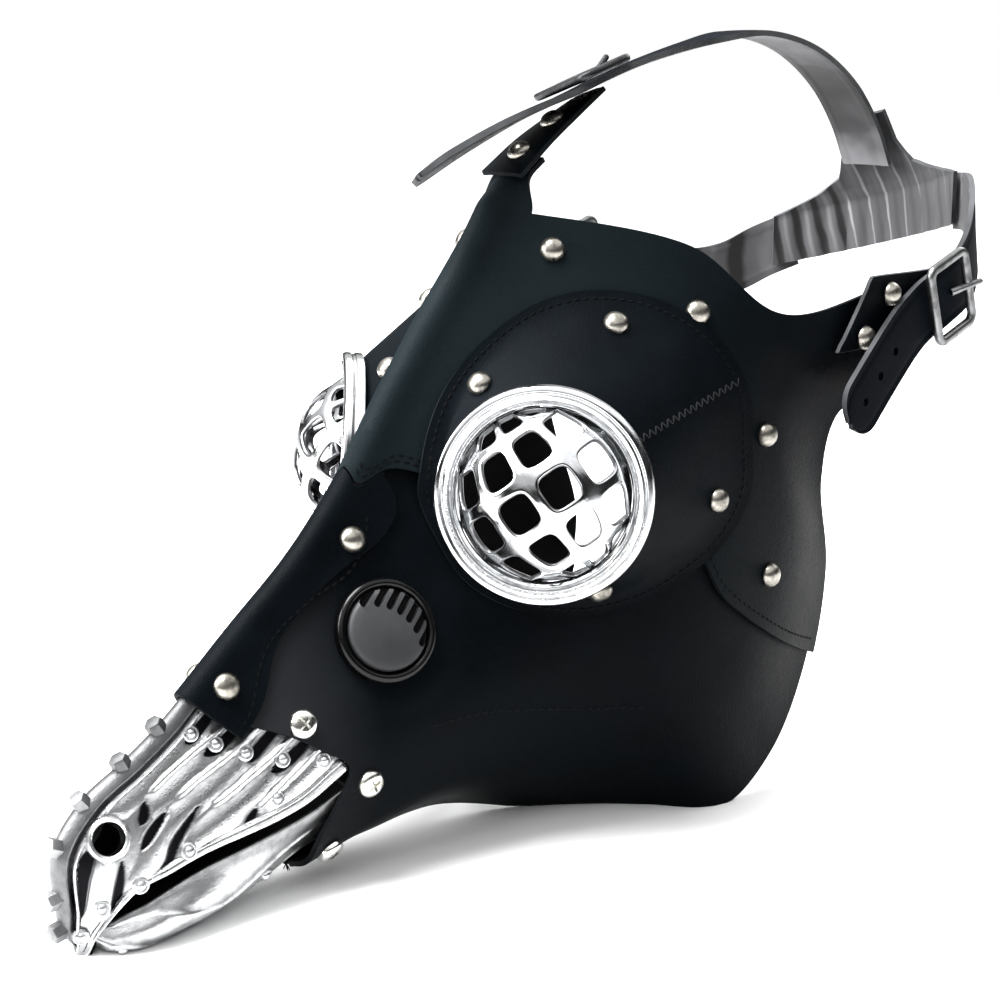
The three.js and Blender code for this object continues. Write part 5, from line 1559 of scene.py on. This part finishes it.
for side, turn in SIDES:
    finished(f"seam_thread_{side}", turn(stitches()), [THREAD], "leather")
    dart = seam_on_skin(*line_on_skin(DART_SEAM, 120), LEATHER)
    for face in dart.faces:
        face.material_index = 1
    finished(f"pale_seam_{side}", turn(joined(zigzag(), dart)), [PALE_THREAD, DULL_THREAD], "leather")

# Floor, light and camera
FLOOR_HALF, FLOOR_ROUGH = 6, 0.75
FLOOR_GREYS = [(0.0, (0.9,) * 3), (1.0, (0.25,) * 3)]  # as seen, and as it lights the mask
floor_bm = bmesh.new()
bmesh.ops.create_grid(floor_bm, x_segments=1, y_segments=1, size=FLOOR_HALF)
floor = as_object("floor", floor_bm)
floor_paint, floor_tree, floor_shader = new_material("pale_floor")
bounced = floor_tree.nodes.new("ShaderNodeLightPath").outputs["Is Diffuse Ray"]
floor_tree.links.new(tinted(floor_tree, bounced, FLOOR_GREYS), floor_shader.inputs["Base Color"])
floor_shader.inputs["Roughness"].default_value = FLOOR_ROUGH
floor.data.materials.append(floor_paint)

SOFTBOXES = [
    # name, place, aim, size, watts
    ("overhead", (-0.35, -0.5, 1.5), (0, -0.05, 0.1), (1.0, 0.8), 72),
    ("front_left", (-0.9, -1.4, 0.8), (0, -0.1, 0.1), (0.8, 1.0), 70),
    ("behind", (-0.1, 1.3, 0.9), (0, 0.1, 0.15), (1.2, 0.6), 8),
]
SKY_STRENGTH, SKY_SPREAD = 2.5, 120


def aimed(thing, place, aim):
    thing.location = place
    thing.rotation_euler = (Vector(aim) - Vector(place)).to_track_quat("-Z", "Y").to_euler()


for name, place, aim, size, power in SOFTBOXES:
    light = bpy.data.lights.new(name, "AREA")
    light.shape = "RECTANGLE"
    light.size, light.size_y = size
    light.energy = power
    aimed(in_scene(name, light), place, aim)
sun = bpy.data.lights.new("sky", "SUN")
sun.energy = SKY_STRENGTH
sun.angle = math.radians(SKY_SPREAD)
in_scene("sky", sun)

# The room: bright above, dark along the horizon, and dark up to a height on the far right
DARK_SIDE, DARK_RISE = (0.9, 0.44, 0), 0.55
ROOM_GREYS = [(0.5, (0.02,) * 3), (0.58, (0.02,) * 3), (0.66, (0.8,) * 3), (1.0, (0.9,) * 3)]
world = bpy.data.worlds.new("studio")
bpy.context.scene.world = world
world.use_nodes = True
room = world.node_tree
background = room.nodes["Background"]
background.inputs["Strength"].default_value = 1.0
way = room.nodes.new("ShaderNodeTexCoord").outputs["Generated"]
split = room.nodes.new("ShaderNodeSeparateXYZ")
room.links.new(way, split.inputs[0])
rise = maths(room, "MULTIPLY", maths(room, "MAXIMUM", along_way(room, way, DARK_SIDE), 0.0), DARK_RISE)
above = maths(room, "SUBTRACT", split.outputs["Z"], rise)
walls = tinted(room, spread(room, above, (-1, 1), (0, 1)), ROOM_GREYS)
seen = room.nodes.new("ShaderNodeLightPath").outputs["Is Camera Ray"]
room.links.new(mixed(room, seen, walls, (1, 1, 1)), background.inputs["Color"])
bpy.context.scene.view_settings.view_transform = "Standard"

CAMERA_PLACE = (0.47368, -0.31431 - TIP_TO_CENTRE * MM, 0.26265)
CAMERA_TARGET = (0.06757, 0.10623 - TIP_TO_CENTRE * MM, 0.12768)
camera_data = bpy.data.cameras.new("camera")
camera_data.lens = 75
camera_data.sensor_width = 36
camera_data.clip_start = 0.02
camera = in_scene("camera", camera_data)
aimed(camera, CAMERA_PLACE, CAMERA_TARGET)
bpy.context.scene.camera = camera
